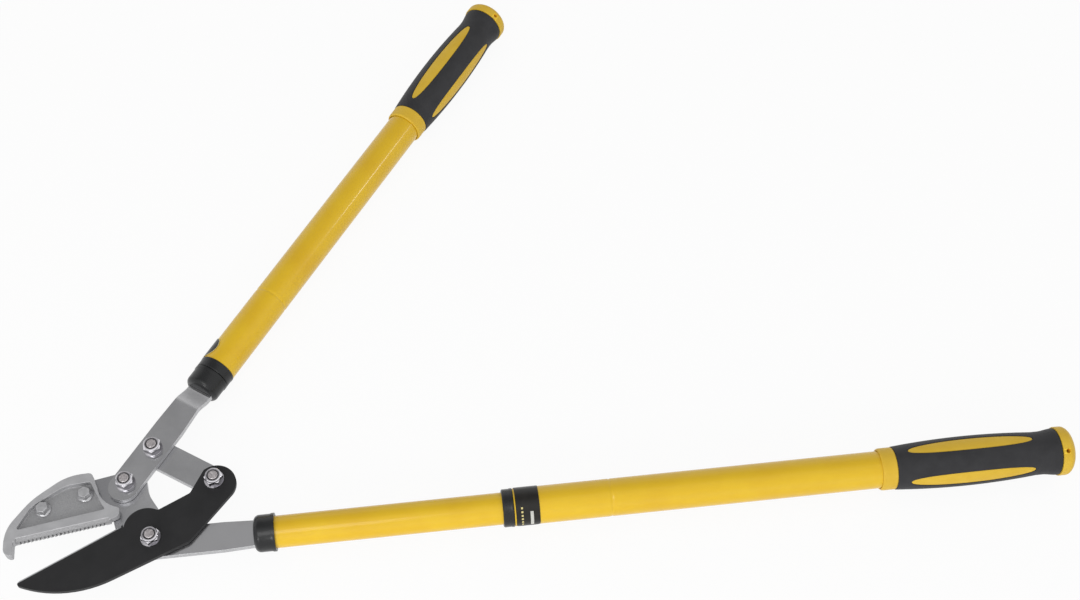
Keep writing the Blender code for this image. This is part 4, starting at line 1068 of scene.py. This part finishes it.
# %% [markdown]
# The rubber has four long windows, blunter at their ends than an oval. A quarter of it is drawn
# flat: the window is bridged to a rectangle with even rows between, and the rectangle's ends are
# drawn out to the grip's ends. The sheet is wrapped on the barrel's line, copied round four times
# and given its wall inwards.

# %% Flat quarter with its window
FLAT = 0.02
QUARTER = FLAT * math.pi / 4
BLUNT = 2 / 2.4
window_middle = (WINDOW_START + WINDOW_END) / 2
window_half = (WINDOW_END - WINDOW_START) / 2


def oval(bm, half_length, half_width):
    """A long oval with blunter ends than an ellipse has."""
    verts = bmesh.ops.create_circle(bm, cap_ends=False, segments=112, radius=1)["verts"]
    for v in verts:
        v.co.x = math.copysign(abs(v.co.x) ** BLUNT, v.co.x)
        v.co.y = math.copysign(abs(v.co.y) ** BLUNT, v.co.y)
    bmesh.ops.scale(bm, verts=verts, vec=(half_length, half_width, 1))
    bmesh.ops.translate(bm, verts=verts, vec=(window_middle, 0, 0))


def pull(bm, place, steps):
    """Draws the row of edges at this place out along X in these steps."""
    edges = [e for e in bm.edges if all(abs(v.co.x - place) < TOUCH for v in e.verts)]
    for step in steps:
        drawn = bmesh.ops.extrude_edge_only(bm, edges=edges)["geom"]
        edges = edges_in(drawn)
        bmesh.ops.translate(bm, verts=points_in(drawn), vec=(step, 0, 0))


sleeve = bmesh.new()
oval(sleeve, window_half, 0.00646)
front, rear = WINDOW_START - 0.0045, BARREL_END
places = ((front, -QUARTER), (rear, -QUARTER), (rear, QUARTER), (front, QUARTER))
corners = [sleeve.verts.new((x, y, 0)) for x, y in places]
sides = [sleeve.edges.new((corners[i], corners[(i + 1) % 4])) for i in range(4)]
bmesh.ops.subdivide_edges(sleeve, edges=sides[0::2], cuts=43)
bmesh.ops.subdivide_edges(sleeve, edges=sides[1::2], cuts=11)
bridged = bmesh.ops.bridge_loops(sleeve, edges=sleeve.edges[:])
bmesh.ops.subdivide_edges(sleeve, edges=bridged["edges"], cuts=5, use_grid_fill=True)
pull(sleeve, front, [(SLEEVE_START - front) / 4] * 4)
pull(sleeve, rear, [(WAIST - rear) / 3] * 3 + [(SLEEVE_END - WAIST) / 12] * 12)
print("faces of the flat quarter:", len(sleeve.faces))


# %% Wrap a flat sheet and give it a wall
def wrap(bm, flat, skin):
    """Wraps a shape drawn flat at this radius. Skin gives each point its own radius."""
    for v in bm.verts:
        turn, radius = v.co.y / flat, skin(v.co)
        v.co.y, v.co.z = -radius * math.sin(turn), radius * math.cos(turn)


def four_times(bm):
    """Copies a quarter round the handle and joins the copies."""
    first = all_of(bm)
    for i in range(1, 4):
        copy = bmesh.ops.duplicate(bm, geom=first)
        quarter = rotation(90 * i, "X").to_3x3()
        bmesh.ops.rotate(bm, verts=points_in(copy["geom"]), cent=(0, 0, 0), matrix=quarter)
    bmesh.ops.remove_doubles(bm, verts=bm.verts, dist=TOUCH * 10)


def wall_to(bm, radius):
    """Gives a skin its wall, inwards to this radius."""
    grown = bmesh.ops.extrude_face_region(bm, geom=bm.faces[:])
    for v in points_in(grown["geom"]):
        scale = radius / math.hypot(v.co.y, v.co.z)
        v.co.y *= scale
        v.co.z *= scale
    bmesh.ops.recalc_face_normals(bm, faces=bm.faces)


# %% Rubber sleeves
GRIP = {"a": OUTER["a"] @ rotation(-18, "X"), "b": OUTER["b"] @ rotation(-8, "X")}
wrap(sleeve, FLAT, lambda spot: barrel(spot.x))
four_times(sleeve)
wall_to(sleeve, 0.0165)
soften(sleeve, 0.0004, 3, 50)
dress_both("rubber_sleeve_", sleeve, GRIP, SLIDING, "grip_sleeve_", "grip_rubber", sharp=40)

# %% [markdown]
# Under the rubber lies the yellow core. Its front ring shows whole, and four pads rise into the
# windows, a little below the rubber. A pad is the same oval, filled with rings that shrink to
# its middle line, so that it can bend with the barrel.

# %% Grip cores
PAD_RINGS, SUNK = 6, 0.0004
core = ring([
    (0.3055, 0.0153), (0.3055, 0.016), (0.3065, 0.0168), (0.308, 0.017), (0.3174, 0.017),
    (0.3174, 0.0162), (0.4529, 0.0162), (0.4529, 0.0153),
], 0.0003, 3, 30)
pads = bmesh.new()
oval(pads, window_half - 0.0003, 0.00616)
edges, space = pads.edges[:], shift(-window_middle, 0)
for rings_left in range(PAD_RINGS, 0, -1):
    drawn = bmesh.ops.extrude_edge_only(pads, edges=edges)["geom"]
    edges = edges_in(drawn)
    narrower = (0.97, (rings_left - 1) / rings_left, 1)
    bmesh.ops.scale(pads, verts=points_in(drawn), vec=narrower, space=space)
bmesh.ops.remove_doubles(pads, verts=pads.verts, dist=TOUCH * 10)
wrap(pads, FLAT, lambda spot: barrel(spot.x) - SUNK)
wall_to(pads, 0.0161)
soften(pads, 0.0002, 2, 50)
four_times(pads)
put_together(core, pads)
dress_both("yellow_core_", core, GRIP, SLIDING, "grip_core_", "yellow_plastic", sharp=40)

# %% [markdown]
# A yellow plug closes each handle. It has a short rim, a domed end and a hole right through it
# for a hanging cord. The two holes point different ways, so each plug is drilled on its own.

# %% End caps
CAP_SEAT, CAP_RIM, CAP_RADIUS, DOME, HOLE = 0.4532, 0.0055, 0.01986, 0.0083, 0.0019
dome = []
for degrees in range(5, 90, 5):
    turn = math.radians(degrees)
    radius = CAP_RADIUS * math.cos(turn) ** 0.8
    dome.append((CAP_SEAT + CAP_RIM + DOME * math.sin(turn), radius))
hole = Vector((CAP_SEAT + 0.004, 0, 0))
for tag, hole_roll in (("a", 28), ("b", 38)):
    cap = turned([
        (CAP_SEAT - 0.014, 0), (CAP_SEAT - 0.014, 0.0137), (CAP_SEAT, 0.0137),
        (CAP_SEAT, CAP_RADIUS), (CAP_SEAT + CAP_RIM, CAP_RADIUS), *dome,
        (CAP_SEAT + CAP_RIM + DOME, 0),
    ], 128)
    soften(cap, 0.0005)
    drill = peg(0, 0, HOLE, -0.03, 0.03)
    roll = rotation(hole_roll, "X")
    drill.transform(Matrix.Translation(hole) @ roll)
    cap = carve(cap, drill)
    line = roll.to_3x3() @ Vector((0, 0, 1))
    # The hole's wall takes the brighter plastic, which is painted light.
    paint(cap, lambda spot, _: (spot - hole).cross(line).length < HOLE + 0.00005)
    dress("end_plug_" + tag, cap, OUTER[tag], "outer_" + tag, "end_cap_" + tag,
          "yellow_plastic", "yellow_plastic", "hole_plastic")

# %% [markdown]
# ## Stickers
# A dark label goes most of the way round the lower handle behind its guide ring, with a row of
# six pale squares and one grey bar for its print. A round dark sticker with a pale rim sits on
# the upper handle. Both are flat films, cut across often enough to wrap round the tube.

# %% Sticker film and print
noisy(
    "film", ((27, 25, 23), (33, 31, 28), 200), (0.28, 0.36), (0.00002, 0.2, 900),
    Specular_IOR_Level=0.2, Coat_Weight=0.15, Coat_Roughness=0.15,
)
PRINT = {"Coat_Weight": 0.3, "Coat_Roughness": 0.15}
noisy("grey_print", ((182, 182, 176), (204, 204, 198), 900), (0.3, 0.4), **PRINT)
noisy("pale_print", ((206, 190, 120), (222, 208, 140), 900), (0.3, 0.4), **PRINT)

# %% Films and marks
FILM_LOW, FILM_HIGH, CUT_EVERY = 0.0153, 0.0155, 0.0008


def film_patch(strokes, low=FILM_LOW, high=FILM_HIGH):
    """A flat film between these radii, wrapped round the tube."""
    bm = plate(strokes, low, high)
    first, last = min(v.co.y for v in bm.verts), max(v.co.y for v in bm.verts)
    count = int((last - first) / CUT_EVERY)
    for i in range(1, count):
        y = first + (last - first) * i / count
        slice_at(bm, (0, y, 0), (0, 1, 0), TOUCH / 10)
    wrap(bm, FILM_LOW, lambda spot: spot.z)
    return bm


def print_on(film_body, strokes, index):
    """Lays a printed mark on a film, in the film's material with this index."""
    mark = film_patch(strokes, FILM_HIGH - 0.00005, FILM_HIGH + 0.00003)
    paint(mark, lambda *_: index)
    put_together(film_body, mark)


# %% Band label
LABEL_START, LABEL_END, LABEL_HALF, LABEL_ROLL = 0.0101, 0.029, 100, 5


def rectangle(start, end, first_turn, last_turn, corner):
    """Strokes of a rounded rectangle on the label, its turns measured on the handle."""
    low, high = [math.radians(turn - LABEL_ROLL) * FILM_LOW for turn in (first_turn, last_turn)]
    return [(start, low, corner), (end, low, corner), (end, high, corner), (start, high, corner)]


label = film_patch(rectangle(
    LABEL_START, LABEL_END, LABEL_ROLL - LABEL_HALF, LABEL_ROLL + LABEL_HALF, 0.003))
for k in range(6):
    turn = 31 + 11.6 * k
    print_on(label, rectangle(0.0142, 0.0157, turn - 2.8, turn + 2.8, 0.0002), 1)
print_on(label, rectangle(0.0213, 0.0238, 42, 95, 0.0004), 2)
where = OUTER["a"] @ rotation(LABEL_ROLL, "X")
dress("dark_label", label, where, "outer_a", "band_label", "sticker_film",
      "film", "pale_print", "grey_print")

# %% Round sticker
STICKER, FACE, STICKER_PLACE = 0.0102, 0.0097, 0.0194


def round_mark(radius):
    """Strokes of a round mark on the upper handle."""
    return [(STICKER_PLACE, 0, radius, start, start + 180) for start in (0, 180)]


badge = film_patch(round_mark(STICKER))
paint(badge, lambda *_: 1)
print_on(badge, round_mark(FACE), 0)
where = OUTER["b"] @ rotation(-60, "X")
dress("dark_badge", badge, where, "outer_b", "round_badge", "sticker_film", "film", "pale_print")

# %% [markdown]
# ## Inside the tubes
# The tang plugs, pins, lock stems, lock sleeves and screws have the right shape in the frame, so
# they stay, and only take the finishes of nylon, black plastic and zinc.

# %% Finish the hidden nodes
HIDDEN = {
    "tang_plug": "black_plastic",
    "tang_pin": "zinc_steel",
    "lock_stem": "white_nylon",
    "lock_sleeve": "white_nylon",
    "lock_screw": "zinc_steel",
}
for stem, look in HIDDEN.items():
    for tag in "ab":
        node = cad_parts[stem + "_" + tag]
        if not node.material_slots:
            node.data.materials.append(LOOKS[look])
        for slot in node.material_slots:
            slot.material = LOOKS[look]
print("kept nodes with new finishes:", 2 * len(HIDDEN))

# %% [markdown]
# ## Colour management
# The dressed tool has to stay inside the CAD model's box.

# %% Colour management
scene = bpy.context.scene
scene.view_settings.view_transform = "Standard"
